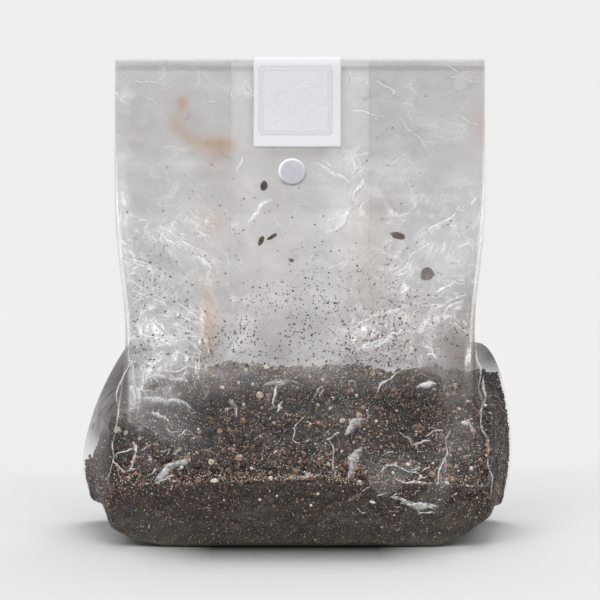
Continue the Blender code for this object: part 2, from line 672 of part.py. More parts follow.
def rows_at(grid, level):
    """Points of the grid's columns at a fractional row each."""
    low = np.clip(np.floor(level).astype(int), 0, len(grid) - 2)
    share = (level - low)[:, None]
    column = np.arange(grid.shape[1])
    return grid[low, column] * (1.0 - share) + grid[low + 1, column] * share


def heap_rim(inset, low):
    """Each column's fractional row where the inset wall first stands above the heap's top."""
    samples = np.linspace(FIRST_WALL_ROW + 0.4, FIRST_WALL_ROW + len(WALL_SHARES), 280)
    levels = np.stack([rows_at(inset, np.full(len(low), level)) for level in samples])
    over = levels[..., 2] > soil_top(levels[..., 0], levels[..., 1])
    return np.maximum(samples[np.argmax(over, axis=0)], low + 0.1)


def heap_floor_ring(start, share):
    """A ring of the heap's underside, drawn in towards the middle by a share."""
    ring = start * np.array([share, share, 1.0])
    ring[:, 2] = soil_floor(ring[:, 0], ring[:, 1])
    ring[:, 2] = shaped(ring)[:, 2]
    return ring


def heap_top_ring(rim, share):
    """A ring of the heap's top, drawn in towards the middle by a share and blended into the rim."""
    ring = rim * np.array([share, share, 1.0])
    height = soil_top(ring[:, 0], ring[:, 1])
    inside = float(smooth_step(1.0 - share, 0.0, 0.10))
    ring[:, 2] = inside * (height + soil_lumps(ring[:, 0], ring[:, 1])) + (1.0 - inside) * rim[:, 2]
    return ring


def substrate(grid, normals, material):
    """The heap: its sides follow the film's inner face, its top slopes, and its bottom clears the folds."""
    inset = finer(grid - normals * (FILM_WALL / 2 + SOIL_CLEARANCE))
    count = inset.shape[1]
    low = np.full(count, FIRST_WALL_ROW + 0.5)
    reach = heap_rim(inset, low)
    start = rows_at(inset, low)
    rings = [heap_floor_ring(start, share) for share in FLOOR_SHARES]
    for step in range(SIDE_RINGS):
        rings.append(rows_at(inset, low + (reach - low) * step / (SIDE_RINGS - 1)))
    rim = rings[-1]
    rings.extend(heap_top_ring(rim, share) for share in TOP_SHARES)
    stack = np.array(rings)
    middles = np.array([[0.0, 0.0, stack[0, :, 2].mean()], [0.0, 0.0, stack[-1, :, 2].mean()]])
    points = np.concatenate([stack.reshape(-1, 3), middles])
    ring = np.arange(count)
    last = (len(stack) - 1) * count + ring
    low_fan = np.column_stack([np.full(count, len(points) - 2), np.roll(ring, -1), ring])
    high_fan = np.column_stack([np.full(count, len(points) - 1), last, np.roll(last, -1)])
    faces = np.concatenate([grid_triangles(stack), low_fan, high_fan])
    return mesh_object("substrate", points, faces, material, 50.0)


def clear_scene():
    """Takes out every object the scene holds."""
    for obj in list(bpy.data.objects):
        bpy.data.objects.remove(obj, do_unlink=True)


def centre_on_base(bag):
    """Moves every piece so that the bag's box stands centred on the origin, its lowest point on the floor."""
    graph = bpy.context.evaluated_depsgraph_get()
    corners = np.array([tuple(corner) for corner in bag.evaluated_get(graph).bound_box])
    low, high = corners.min(axis=0), corners.max(axis=0)
    shift = -0.5 * (low + high)
    shift[2] = -low[2]
    for obj in bpy.data.objects:
        obj.data.transform(Matrix.Translation(shift))


def main():
    clear_scene()
    grid = film_grid()
    normals = grid_normals(grid)
    bag = film_bag(grid, normals, plain_material("clear_film", (0.78, 0.77, 0.76), 0.18, 0.35))
    filter_patch(plain_material("white_nonwoven", (0.86, 0.86, 0.88), 0.85))
    injection_port(grid, plain_material("port_rubber", (0.72, 0.73, 0.77), 0.45))
    substrate(grid, normals, plain_material("dark_soil", (0.085, 0.062, 0.050), 0.95))
    bit_material = plain_material("bark_brown", (0.16, 0.11, 0.085), 0.90)
    for number, name in enumerate(LOOSE_BITS):
        loose_bit(name, grid, 20 + number, bit_material)
    centre_on_base(bag)


main()
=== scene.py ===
"""A clear side gusseted grow bag, part filled with dark crumbly substrate: film, heap, crumbs, filter patch,
port and clinging bits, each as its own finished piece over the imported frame. Metres, +Z up, front to -Y."""

import math

import bpy
import numpy as np
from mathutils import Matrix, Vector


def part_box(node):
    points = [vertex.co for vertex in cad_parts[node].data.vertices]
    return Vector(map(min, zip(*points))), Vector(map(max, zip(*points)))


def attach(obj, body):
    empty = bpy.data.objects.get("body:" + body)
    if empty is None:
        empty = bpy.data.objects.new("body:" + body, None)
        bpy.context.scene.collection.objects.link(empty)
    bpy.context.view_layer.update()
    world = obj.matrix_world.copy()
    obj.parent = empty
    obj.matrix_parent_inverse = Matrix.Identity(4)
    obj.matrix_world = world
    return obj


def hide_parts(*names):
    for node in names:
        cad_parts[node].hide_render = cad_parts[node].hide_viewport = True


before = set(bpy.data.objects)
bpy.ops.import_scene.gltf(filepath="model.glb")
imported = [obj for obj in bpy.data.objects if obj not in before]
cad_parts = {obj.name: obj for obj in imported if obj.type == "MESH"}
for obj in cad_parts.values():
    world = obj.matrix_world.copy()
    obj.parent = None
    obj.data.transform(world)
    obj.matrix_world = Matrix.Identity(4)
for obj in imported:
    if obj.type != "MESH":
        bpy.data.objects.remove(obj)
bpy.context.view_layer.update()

MM = 0.001
DEGREE = math.pi / 180

# The film, laid flat and standing
HALF_PANEL = 0.1015
PLY = 0.0635
BAG_HEIGHT = 0.261
FLAP_LENGTH = 0.080
FILM_WALL = 0.0004
LAYER_STEP = 0.0011
FLAT_HALF_DEPTH = 1.5 * LAYER_STEP
FOLD_RADIUS = 0.0030
FLAT_TOP_LENGTH = 0.0260
BASE_HALF_DEPTH = 0.055
STRAIGHT_WALL_HEIGHT = 0.0340
CLOSING_HEIGHT = 0.1044
GUSSET_OPENING_LENGTH = 0.0390
CORNER_RADIUS = 0.010
CLOSED_ROUNDNESS = 0.25
ROUNDING_LENGTH = 0.050
GUSSET_FACE_SHARE = 0.22
TUCK_BEND = 0.70 * HALF_PANEL
PANEL_SWELL = 0.003
FOLD_BLUNTNESS = 0.0003
FOLD_CENTRE_Z = BAG_HEIGHT - FOLD_RADIUS - FLAT_HALF_DEPTH - FILM_WALL / 2
EDGE_HEIGHT = 0.0040
SEAL_RISE = 0.0014
SEAL_RAMP = (0.0112, 0.0190)
SWAY = 0.0007
SWAY_WAVES = ((24.0, 31.0, 0.6, 1.0), (-18.0, 57.0, 2.1, 0.7))

# The four quarters of a section in their order round it, as side and rear, with the steps between the corner
# points of each: fine in front, coarser behind
QUARTERS = ((1, False), (1, True), (-1, True), (-1, False))
PANEL_PARTS = (0.0, 0.25, 0.50, 0.70, 1.0)
PLY_PARTS = (0.0, 0.18, 0.36, 0.60)
FRONT_STEPS = (19, 19, 15, 22, 2, 2, 8, 8, 10, 9, 4)
REAR_STEPS = (10, 10, 8, 12, 2, 2, 8, 8, 10, 9, 4)
WALL_ROWS = 160
TURN_ROWS = 12
FLAP_ROWS = 30

# The port, the patch and the heap
PORT_OFFSET = -0.0044
PORT_HEIGHT = 0.1975
PATCH_OFFSET = -0.0015
PATCH_SIZE = (0.048, 0.0515)
SOIL_BACK_HEIGHT = 0.0862
SOIL_FRONT_HEIGHT = 0.031
SOIL_LEFT_CORNER_DROP = 0.052
SOIL_CROWN = 0.004
WALL_INSET = 0.0014


def smooth_step(value, low, high):
    """The cubic ramp 3s*s - 2s*s*s of the share s of the way from low to high."""
    share = np.clip((np.asarray(value, float) - low) / (high - low), 0.0, 1.0)
    return share * share * (3.0 - 2.0 * share)


def lattice(cells, seed):
    """A repeatable random value from 0 to 1 for each whole numbered cell: a sine of its number, fraction kept."""
    mixed = cells[..., 0] * 127.1 + cells[..., 1] * 311.7 + cells[..., 2] * 74.7 + seed * 19.19
    value = np.sin(mixed) * 43758.5453
    return value - np.floor(value)


def soft_noise(points, size, seed=0):
    """Smooth noise from -1 to 1: random corner values of a cubic lattice, blended by smooth steps."""
    scaled = np.asarray(points, float) / size
    cell = np.floor(scaled)
    part = scaled - cell
    part = part * part * (3.0 - 2.0 * part)
    total = 0.0
    for corner in np.ndindex(2, 2, 2):
        weight = np.where(corner, part, 1.0 - part)
        weight = weight[..., 0] * weight[..., 1] * weight[..., 2]
        total = total + weight * lattice(cell + np.array(corner), seed)
    return 2.0 * total - 1.0


def layered_noise(points, *layers):
    """A sum of soft noises, each given as its amount, size and seed."""
    return sum(amount * soft_noise(points, size, seed) for amount, size, seed in layers)


def make_piece(name, points, faces, material, smooth=True, **attributes):
    """A mesh object at the origin from point and face arrays, all moved by SHIFT, riding with the part. Each
    attribute keeps one number per point, for the material to read."""
    points = np.ascontiguousarray(points.reshape(-1, 3) + SHIFT, np.float32)
    faces = np.ascontiguousarray(faces, np.int32)
    count, sides = faces.shape
    mesh = bpy.data.meshes.new(name)
    mesh.vertices.add(len(points))
    mesh.vertices.foreach_set("co", points.ravel())
    mesh.loops.add(faces.size)
    mesh.loops.foreach_set("vertex_index", faces.ravel())
    mesh.polygons.add(count)
    mesh.polygons.foreach_set("loop_start", np.arange(0, faces.size, sides, dtype=np.int32))
    mesh.polygons.foreach_set("loop_total", np.full(count, sides, np.int32))
    mesh.update(calc_edges=True)
    mesh.validate()
    mesh.polygons.foreach_set("use_smooth", np.full(len(mesh.polygons), smooth, bool))
    mesh.materials.append(material)
    for key, values in attributes.items():
        layer = mesh.attributes.new(key, "FLOAT", "POINT")
        layer.data.foreach_set("value", np.ascontiguousarray(values, np.float32).ravel())
    obj = bpy.data.objects.new(name, mesh)
    bpy.context.scene.collection.objects.link(obj)
    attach(obj, "root")
    return obj


# The film's shape

def half_depth(z):
    """Half the distance between the panels: a cosine ramp from the base's half depth to the flat layers'."""
    end = BAG_HEIGHT - FLAT_TOP_LENGTH
    share = np.clip((np.asarray(z, float) - STRAIGHT_WALL_HEIGHT) / (end - STRAIGHT_WALL_HEIGHT), 0.0, 1.0)
    return FLAT_HALF_DEPTH + (BASE_HALF_DEPTH - FLAT_HALF_DEPTH) * (0.5 + 0.5 * np.cos(math.pi * share))


def flare(z, side):
    """The filled back corner's stand out: a quarter ellipse below its peak, a power of a parabola above it."""
    amount, peak, fade = (0.0222, 0.050, 0.38) if side > 0 else (0.025, 0.029, 0.9)
    reach = np.clip((z - peak) / (CLOSING_HEIGHT - peak), 0.0, 1.0)
    above = amount * (1.0 - reach * reach) ** fade
    under = amount * np.sqrt(1.0 - np.clip((peak - z) / (1.35 * peak), 0.0, 1.0) ** 2)
    return np.where(z > peak, above, under)


def corner_offset(z, side, rear):
    """The panel edge's distance from the middle: half the panel, less a bell shaped draw in over the heap."""
    drawn = (0.0040 if rear else 0.0095) * np.exp(-(((z - CLOSING_HEIGHT) / 0.050) ** 2))
    return HALF_PANEL - drawn + (flare(z, side) if rear else 0.0)


def gusset_fold(z, side):
    """The gusset's middle fold: pleated inwards above the heap, pushed out flat between the corners in it."""
    pleated = corner_offset(z, side, False) - np.sqrt(np.maximum(PLY * PLY - half_depth(z) ** 2, 0.0))
    middle = 0.5 * (corner_offset(z, side, False) + corner_offset(z, side, True))
    out = smooth_step(CLOSING_HEIGHT - z, 0.0, GUSSET_OPENING_LENGTH)
    return (1.0 - out) * pleated + out * middle


def openness(z):
    """How far the section is opened and rounded: the squared depth share, less above the heap."""
    filled = smooth_step(CLOSING_HEIGHT - z, 0.0, ROUNDING_LENGTH)
    return (half_depth(z) / BASE_HALF_DEPTH) ** 2 * (CLOSED_ROUNDNESS + (1.0 - CLOSED_ROUNDNESS) * filled)


def quarter(x, y, z, like):
    """A quarter's corner points for each of several sections, from lists of their offsets, depths and heights.
    Each is one number or an array as long as the one given last."""
    return np.stack([np.stack([np.broadcast_to(v, np.shape(like)) for v in row], 1) for row in (x, y, z)], 2)


def wall_quarter(z, side, rear, corner_radius=CORNER_RADIUS):
    """A quarter of the section at each height: a straight panel, a blunt corner and the gusset ply behind it."""
    depth, opened = half_depth(z), openness(z)
    width, fold = corner_offset(z, side, rear), gusset_fold(z, side)
    radius = FOLD_BLUNTNESS + (corner_radius - FOLD_BLUNTNESS) * opened
    turn = LAYER_STEP + (corner_radius - LAYER_STEP) * opened
    start_x, start_y = width - FOLD_BLUNTNESS, depth - turn
    end_y = LAYER_STEP / 2 + (GUSSET_FACE_SHARE * depth - LAYER_STEP / 2) * opened
    end_x = fold + FOLD_BLUNTNESS + (GUSSET_FACE_SHARE * (start_x - fold) - FOLD_BLUNTNESS) * opened
    spread = np.interp(z, (EDGE_HEIGHT, 0.024), (0.15, 1.0))
    x = [part * (width - radius) for part in PANEL_PARTS]
    x += [width + FOLD_BLUNTNESS / 3 - 0.30 * (radius - FOLD_BLUNTNESS)]
    x += [start_x + (end_x - start_x) * part * spread for part in PLY_PARTS] + [end_x, fold]
    y = [depth] * len(PANEL_PARTS) + [depth - 0.5 * turn * (1.0 - 0.35 * opened)]
    y += [start_y + (end_y - start_y) * part * spread for part in PLY_PARTS] + [end_y, 0.0]
    return quarter(x, y, [z] * len(x), z)


def edge_quarter(side, rear):
    """The rounded bottom edge: the lowest wall section drawn in, its tucked ply gathered at the corner."""
    points = wall_quarter(np.array([EDGE_HEIGHT]), side, rear, 0.45 * CORNER_RADIUS)
    points[..., 1] -= 0.0006 * points[..., 1] / BASE_HALF_DEPTH
    points[..., 0] -= 0.0010 * points[..., 0] / HALF_PANEL
    first = len(PANEL_PARTS) + 1
    steps = np.arange(1, len(PLY_PARTS))
    points[0, first + 1:first + 4] = points[0, first] - steps[:, None] * np.array([0.0005, 0.0002, 0.0])
    return points


def base_quarter(share):
    """A quarter of the folded bottom: the panel on the floor, the gusset tucked in over it to its crease."""
    depth = BASE_HALF_DEPTH * share
    rise = SEAL_RISE * np.clip((SEAL_RAMP[1] - depth) / (SEAL_RAMP[1] - SEAL_RAMP[0]), 0.0, 1.0)
    crease = HALF_PANEL - PLY * (1.0 - share)
    edge, ply_end = HALF_PANEL - FOLD_BLUNTNESS, crease + 0.0005
    bend = np.maximum(TUCK_BEND, 0.5 * (edge + ply_end))
    x = [edge * part for part in PANEL_PARTS] + [HALF_PANEL, edge, bend, ply_end, crease, crease + 0.0003, crease]
    y = [depth] * 10 + [np.minimum(0.72 * depth, SEAL_RAMP[0]), 0.0]
    lift = [0.0] * 5 + [0.5, 1.0, 1.0, 1.0, 1.5, 2.0]
    high = [rise + FILM_WALL / 2 + LAYER_STEP * value for value in lift]
    return quarter(x, y, high + [SEAL_RISE + FILM_WALL / 2 + 2.0 * LAYER_STEP], depth)


def neck_quarter(z, step):
    """A quarter of the four flat layers that run down into the bottom seal."""
    fold, edge, ply_y = HALF_PANEL - PLY, HALF_PANEL - FOLD_BLUNTNESS, LAYER_STEP / 2
    x = [edge * part for part in PANEL_PARTS]
    x += [HALF_PANEL, edge, TUCK_BEND, fold + 0.0015, fold + 0.0003, fold + 0.0003, fold]
    y = [FLAT_HALF_DEPTH] * 5 + [LAYER_STEP, ply_y, ply_y, ply_y, ply_y, 0.5 * ply_y, 0.0]
    lift = [0.0] * 5 + [0.5, 1.0, 1.0, 1.0, 1.5, 1.8, 2.0]
    return quarter(x, y, [z + step * value for value in lift], [0.0])


def corner_places(rear):
    """Each column's place along its quarter's corner points, as a fractional index."""
    counts = REAR_STEPS if rear else FRONT_STEPS
    return np.concatenate([k + np.arange(n) / n for k, n in enumerate(counts)] + [[len(counts)]])


def chained(a, b, c, d):
    """Four quarters' rows in one loop without their shared ends. The second and last run backwards."""
    return np.concatenate([a, b[-2::-1], c[1:], d[-2:0:-1]])


def joined(make):
    """Closed loops from a function that makes the quarter for a side and rear, anticlockwise from above, with
    points added evenly between the corners."""
    placed = []
    for side, rear in QUARTERS:
        points, at = make(side, rear).swapaxes(0, 1), corner_places(rear)
        low = np.minimum(at.astype(int), len(REAR_STEPS) - 1)
        share = (at - low)[:, None, None]
        fine = points[low] * (1.0 - share) + points[low + 1] * share
        placed.append(fine * np.array([side, 1.0 if rear else -1.0, 1.0]))
    return chained(*placed).swapaxes(0, 1)


def column_facts():
    """For each column: its share of the way from the panel's middle to its edge (1 on the gusset), the place
    along the gusset ply from 0 at the corner to 1 at the fold, the side, and whether it is at the rear."""
    facts = []
    for side, rear in QUARTERS:
        at = corner_places(rear)
        ply = np.interp(at, np.arange(6, 12), (*PLY_PARTS, 0.85, 1.0))
        facts.append((np.interp(at, np.arange(5), PANEL_PARTS), ply, 0 * at + side, 0 * at + rear > 0))
    return [chained(*quarters) for quarters in zip(*facts)]


def between(low, high, count):
    """Rows between two loops: straight steps, the first loop left out and the second kept."""
    share = (np.arange(1, count + 1) / count)[:, None, None]
    return low[None] * (1.0 - share) + high[None] * share


def curved_rows(before, low, high, after, count):
    """Rows between two loops along a cubic whose slopes come from the loops before and after them."""
    t = (np.arange(1, count + 1) / count)[:, None, None]
    start, end = 0.5 * (high - before), 0.5 * (after - low)
    return ((2 * t**3 - 3 * t**2 + 1) * low + (t**3 - 2 * t**2 + t) * start
            + (3 * t**2 - 2 * t**3) * high + (t**3 - t**2) * end)


def shaped(points):
    """Lifts the bottom's empty corners and adds the slow waves that run through all layers alike."""
    made = np.array(points, float)
    x, z = made[..., 0].copy(), made[..., 2].copy()
    reach = np.clip((np.abs(x) - TUCK_BEND) / (HALF_PANEL - TUCK_BEND), 0.0, 1.35)
    in_front = 1.0 - smooth_step(made[..., 1], -0.050, -0.015)
    behind = smooth_step(made[..., 1], 0.000, 0.045)
    share = 1.0 - np.where(x < 0.0, 0.45, -0.10) * in_front - np.where(x < 0.0, 0.40, 0.55) * behind
    z = z + 0.011 * reach * share * (1.0 - smooth_step(z, EDGE_HEIGHT, 0.060))
    wave = sum(share * np.sin(across * x + up * z + phase) for across, up, phase, share in SWAY_WAVES)
    made[..., 1] += SWAY * smooth_step(z, 0.02, 0.09) * wave
    made[..., 2] = z
    return made


def film_sections():
    """The film's middle surface before crinkling, row by row from the bottom seal to the open mouth: the neck
    and folded bottom, the standing wall, the turn over the top and the flap. Also the rows where the last three
    begin."""
    low = [joined(lambda s, r: neck_quarter(*at)) for at in
           ((0.0005, 0.0), (SEAL_RISE + FILM_WALL / 2, LAYER_STEP))]
    shares = np.array([SEAL_RAMP[0] / BASE_HALF_DEPTH, SEAL_RAMP[1] / BASE_HALF_DEPTH, 0.45, 0.62, 0.80, 0.93])
    base = joined(lambda s, r: base_quarter(shares))
    edge = joined(edge_quarter)[0]
    heights = np.concatenate([[0.0108], np.linspace(0.0125, FOLD_CENTRE_Z, WALL_ROWS)])
    wall = joined(lambda s, r: wall_quarter(heights, s, r))
    low += [base[:1], *(between(base[k], base[k + 1], 3) for k in range(4)),
            curved_rows(base[3], base[4], base[5], edge, 4), curved_rows(base[4], base[5], edge, wall[0], 5),
            curved_rows(base[5], edge, wall[0], wall[1], 4)[:-1]]
    low, top = np.concatenate(low), wall[-1]
    angles = np.linspace(0.0, math.pi, TURN_ROWS + 1)[1:, None]
    radius = FOLD_RADIUS - top[:, 1]
    turn = np.stack([top[:, 0] + 0.0 * angles, FOLD_RADIUS - radius * np.cos(angles),
                     FOLD_CENTRE_Z + radius * np.sin(angles)], axis=2)
    drop = (FLAP_LENGTH * np.arange(1, FLAP_ROWS + 1) / FLAP_ROWS)[:, None]
    ride = half_depth(FOLD_CENTRE_Z - drop) - half_depth(FOLD_CENTRE_Z)
    x, y, z = turn[-1].T
    flap = np.stack([x + 0.0 * drop, y + ride, z - drop], axis=2)
    return np.concatenate([low, wall, turn, flap]), np.cumsum([len(low), len(wall), len(turn)])


panel_share, ply_share, column_side, column_rear = column_facts()
film_base, (WALL_START, TURN_START, FLAP_START) = film_sections()

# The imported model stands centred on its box, so the whole dressing moves by the same small step
SHIFT = np.array([0.5 * (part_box("injection_port")[0][0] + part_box("injection_port")[1][0]) - PORT_OFFSET, 0.0, 0.0])
widest = film_base[WALL_START + 5:WALL_START + 8, :, 1].max() + PANEL_SWELL + FILM_WALL / 2
SHIFT[1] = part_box("film_bag")[1][1] - widest


def panel_swell(x, z):
    """The panel's belly: a parabola across its width, as deep as the section is open."""
    width = np.abs(x) / (HALF_PANEL - 0.004)
    return PANEL_SWELL * openness(z) * np.clip(1.0 - width * width, 0.0, 1.0)


# Crinkles

def tents(x, z, creases):
    """Roof shaped creases: each rises to its height on a bent line and falls straight to nothing at its width,
    fading to its ends. A crease is (x, z, angle, half length, half width, height, bend)."""
    total = np.zeros_like(x)
    for chunk in np.array_split(creases, max(1, len(creases) // 12)):
        cx, cz, angle, length, width, height, bend = chunk.T[:, None, :]
        dx, dz = x[:, None] - cx, z[:, None] - cz
        along = (dx * np.cos(angle) + dz * np.sin(angle)) / length
        across = -dx * np.sin(angle) + dz * np.cos(angle) - bend * length * along * along
        fade = np.clip(1.0 - along * along, 0.0, 1.0)
        roof = np.clip(1.0 - np.abs(across) / (width * (0.35 + 0.65 * fade)), 0.0, 1.0)
        total += (height * roof * fade).sum(axis=1)
    return total


def scattered(zones, seed):
    """Random creases: for each zone (x, z, half spread x, half spread z, count, angle, angle spread, length,
    width, height), so many creases with sizes spread round the given ones, half of them dents."""
    generator = np.random.default_rng(seed)
    rows = []
    units = np.array([MM, MM, MM, MM, 1.0, DEGREE, DEGREE, MM, MM, MM])
    for cx, cz, sx, sz, count, angle, turn, length, width, height in zones * units:
        draw = generator.uniform(-1.0, 1.0, (7, int(count)))
        rows.append(np.column_stack([
            cx + sx * draw[0], cz + sz * draw[1], angle + turn * draw[2], length * (1.0 + 0.5 * draw[3]),
            width * (1.0 + 0.4 * draw[4]), height * (1.0 + 0.4 * draw[5]) * np.sign(draw[6]), 0.35 * draw[3],
        ]))
    return np.concatenate(rows)


# Zones of crinkles on the front panel, in millimetres and degrees
FRONT_ZONES = np.array([
    (-73, 150, 27, 24, 46, 30, 90, 9, 2.6, 0.55),
    (-55, 167, 9, 9, 10, 40, 60, 8, 2.4, 0.6),
    (71, 156, 28, 28, 60, 45, 90, 10, 2.8, 0.65),
    (51, 114, 25, 14, 26, 20, 70, 9, 2.4, 0.5),
    (-70, 103, 19, 25, 40, 70, 60, 9, 2.6, 0.6),
    (-73, 60, 21, 26, 44, 55, 70, 9, 2.6, 0.6),
    (4, 70, 22, 18, 20, 30, 80, 7, 2.2, 0.45),
    (50, 34, 28, 18, 34, 8, 40, 10, 2.2, 0.5),
    (74, 44, 5, 18, 10, 80, 25, 9, 2.0, 0.5),
    (66, 100, 8, 7, 14, 40, 80, 5, 1.6, 0.4),
    (-96, 240, 5, 7, 8, 60, 50, 6, 2.0, 0.3),
    (-32, 241, 6, 8, 8, 60, 40, 7, 2.0, 0.3),
    (31, 245, 6, 9, 8, 60, 40, 8, 2.0, 0.3),
    (48, 220, 24, 14, 14, 30, 30, 16, 2.8, 0.4),
    (88, 247, 11, 12, 14, 60, 60, 9, 2.2, 0.3),
    (30, 198, 9, 12, 12, 50, 50, 9, 2.4, 0.45),
    (0, 175, 95, 60, 60, 30, 90, 14, 4.5, 0.35),
    (0, 225, 98, 30, 50, 20, 90, 12, 3.5, 0.22),
    (0, 110, 95, 50, 40, 30, 90, 14, 4.5, 0.4),
])

# Single pinched creases that stand out, each a roof in the film under a white strip that is partly painted
# highlight: both ends (x, z) in millimetres, the width in tenths of one, and the strength in tenths and bend in
# hundredths of the whole
PINCHES = np.array([
    (25, 234, 51, 230, 8, 9, -8), (51, 230, 71, 207, 7, 7, 5), (40, 228, 43, 226, 6, 6, 0),
    (22, 215, 35, 194, 7, 6, 10), (26, 210, 34, 192, 6, 5, 10), (5, 203, 28, 190, 16, 7, 6),
    (12, 204, 21, 199, 11, 7, 0), (36, 194, 28, 180, 17, 8, -10), (28, 180, 12, 163, 32, 5, 10),
    (16, 170, 26, 174, 16, 5, 10), (-28, 168, -15, 183, 18, 9, 8), (-31, 207, -35, 197, 13, 6, 0),
    (91, 183, 64, 162, 12, 8, 5), (96, 184, 92, 179, 14, 9, 0), (74, 163, 51, 140, 8, 8, -4),
    (84, 140, 70, 132, 14, 9, 10), (98, 179, 91, 148, 11, 7, 5), (91, 148, 98, 141, 10, 7, 0),
    (14, 143, 24, 147, 8, 7, 10), (-63, 173, -48, 161, 10, 8, -10), (-63, 173, -58, 161, 8, 7, 10),
    (-58, 161, -48, 161, 8, 8, 10), (-83, 165, -72, 158, 7, 8, -10), (-72, 158, -52, 153, 10, 8, 12),
    (-57, 151, -47, 143, 21, 8, 10), (-99, 173, -81, 169, 11, 7, 10), (-95, 158, -88, 144, 8, 7, -10),
    (-92, 151, -80, 148, 8, 7, 10), (-85, 141, -72, 144, 8, 6, 10), (-90, 133, -74, 130, 11, 7, -10),
    (-102, 242, -97, 235, 15, 9, 10), (-100, 240, -92, 237, 8, 8, 0), (-94, 250, -72, 248, 8, 6, -10),
    (-87, 239, -77, 235, 7, 5, 10), (-37, 246, -33, 237, 8, 8, -30), (-31, 248, -26, 240, 8, 8, -20),
    (-35, 239, -26, 240, 7, 6, 20), (36, 250, 54, 238, 8, 7, 10), (50, 243, 54, 239, 18, 9, 0),
    (37, 252, 34, 242, 8, 7, 10), (57, 248, 75, 244, 6, 4, 10), (77, 258, 100, 252, 8, 6, -8),
    (80, 250, 100, 246, 8, 6, 5), (83, 230, 99, 222, 7, 7, 3), (69, 242, 101, 238, 7, 4, 3),
    (40, 153, 57, 147, 7, 6, 10), (47, 140, 57, 147, 7, 6, -10), (35, 158, 49, 148, 13, 5, 10),
    (28, 173, 39, 184, 11, 5, 0), (27, 98, 61, 112, 27, 8, 5), (38, 101, 53, 110, 16, 7, 10),
    (60, 82, 71, 84, 17, 8, 5), (63, 104, 71, 95, 16, 7, 20), (65, 98, 73, 101, 11, 8, 0),
    (39, 79, 52, 90, 11, 7, 8), (-4, 54, 3, 69, 8, 6, 10), (7, 76, 13, 84, 7, 5, 10), (-13, 71, -11, 84, 13, 6, 10),
    (-12, 69, -9, 76, 11, 7, 0), (23, 57, 34, 67, 24, 5, 10), (25, 35, 32, 53, 27, 5, 5),
    (15, 57, 17, 35, 11, 5, 5), (13, 55, 21, 60, 10, 6, 0), (42, 43, 62, 37, 8, 9, 6), (47, 36, 67, 34, 10, 9, -5),
    (41, 39, 46, 44, 8, 8, 0), (69, 31, 76, 57, 8, 9, -4), (46, 27, 72, 21, 18, 7, -6), (51, 23, 71, 20, 12, 8, 5),
    (60, 17, 70, 18, 8, 7, 10), (82, 64, 89, 61, 16, 8, 20), (-75, 33, -56, 46, 27, 6, 8),
    (-73, 34, -64, 38, 11, 7, 0), (-96, 47, -85, 51, 8, 8, 5), (-85, 51, -89, 39, 11, 9, 10),
    (-97, 47, -89, 39, 8, 7, -10), (-86, 55, -84, 49, 13, 9, 0), (-83, 75, -55, 71, 18, 6, 10),
    (-78, 69, -67, 64, 14, 6, 10), (-82, 87, -58, 84, 16, 6, 8), (-75, 91, -55, 94, 11, 7, -10),
    (-80, 104, -57, 105, 14, 6, 10), (-85, 98, -81, 76, 10, 6, 5), (-81, 116, -65, 119, 13, 6, 10),
    (-75, 110, -68, 101, 12, 6, 20), (-63, 122, -60, 108, 11, 6, 10), (-55, 112, -52, 80, 8, 5, 2),
    (-51, 128, -49, 84, 8, 5, 1), (-79, 128, -70, 124, 12, 6, 10), (0, 35, 7, 38, 16, 5, 10),
    (35, 24, 39, 23, 12, 9, 10), (95, 89, 93, 67, 13, 5, 5), (57, 52, 68, 55, 11, 6, 10),
    (64, 57, 75, 61, 8, 7, 10), (50, 60, 58, 52, 10, 5, 10), (-37, 77, -33, 66, 16, 3, 10),
    (-20, 82, 0, 84, 16, 3, 10), (42, 118, 63, 124, 16, 5, 10), (63, 124, 90, 132, 13, 6, -8),
    (27, 111, 44, 120, 14, 6, 10), (74, 118, 88, 128, 13, 6, 10), (77, 116, 89, 109, 11, 6, 10),
    (53, 130, 72, 128, 10, 5, 20), (53, 165, 61, 173, 8, 5, 10), (67, 182, 76, 184, 7, 4, 10),
    (83, 153, 96, 160, 11, 7, 10), (58, 159, 76, 167, 7, 5, 10), (-76, 179, -60, 175, 8, 4, 10),
    (-51, 168, -39, 161, 7, 3, 10), (91.5, 106, 93, 80, 9, 4.5, 3), (92.5, 84, 97, 48, 7, 5, -2),
    (96.5, 52, 99, 24, 7, 5, 0), (-89, 98, -84, 66, 13, 5, 5), (-89, 99, -95, 58, 10, 5, -5),
    (-94, 62, -98, 30, 8, 5, -3),
]) / (1, 1, 1, 1, 10, 10, 100)

# Zones of crinkles behind and on the gussets, where the first number is a depth in place of an offset
REAR_ZONES = np.array([
    (0, 150, 100, 40, 90, 30, 90, 13, 3.6, 0.5), (0, 80, 110, 40, 90, 40, 90, 12, 3.2, 0.5),
    (0, 220, 98, 36, 80, 20, 90, 12, 3.2, 0.25), (0, 35, 110, 25, 50, 20, 90, 10, 3.0, 0.45),
])
GUSSET_ZONES = np.array([
    (0, 110, 50, 60, 60, 60, 90, 11, 3.0, 0.6), (0, 40, 52, 34, 60, 40, 90, 10, 2.8, 0.6),
    (0, 200, 30, 40, 30, 80, 40, 12, 3.0, 0.3),
])


def pinch_creases():
    """The pinched creases as roofs on the panel: middle, angle and half length from their ends, and a height
    that grows with their width and strength."""
    x0, z0, x1, z1, width, strength, bend = PINCHES.T
    length = 0.5 * np.hypot(x1 - x0, z1 - z0)
    angle = np.degrees(np.arctan2(z1 - z0, x1 - x0))
    creases = np.column_stack([0.5 * (x0 + x1), 0.5 * (z0 + z1), angle, 1.15 * length,
                               2.0 + 0.8 * width, 0.30 + 0.16 * width * strength, bend])
    return creases * np.array([MM, MM, DEGREE, MM, MM, MM, 1.0])


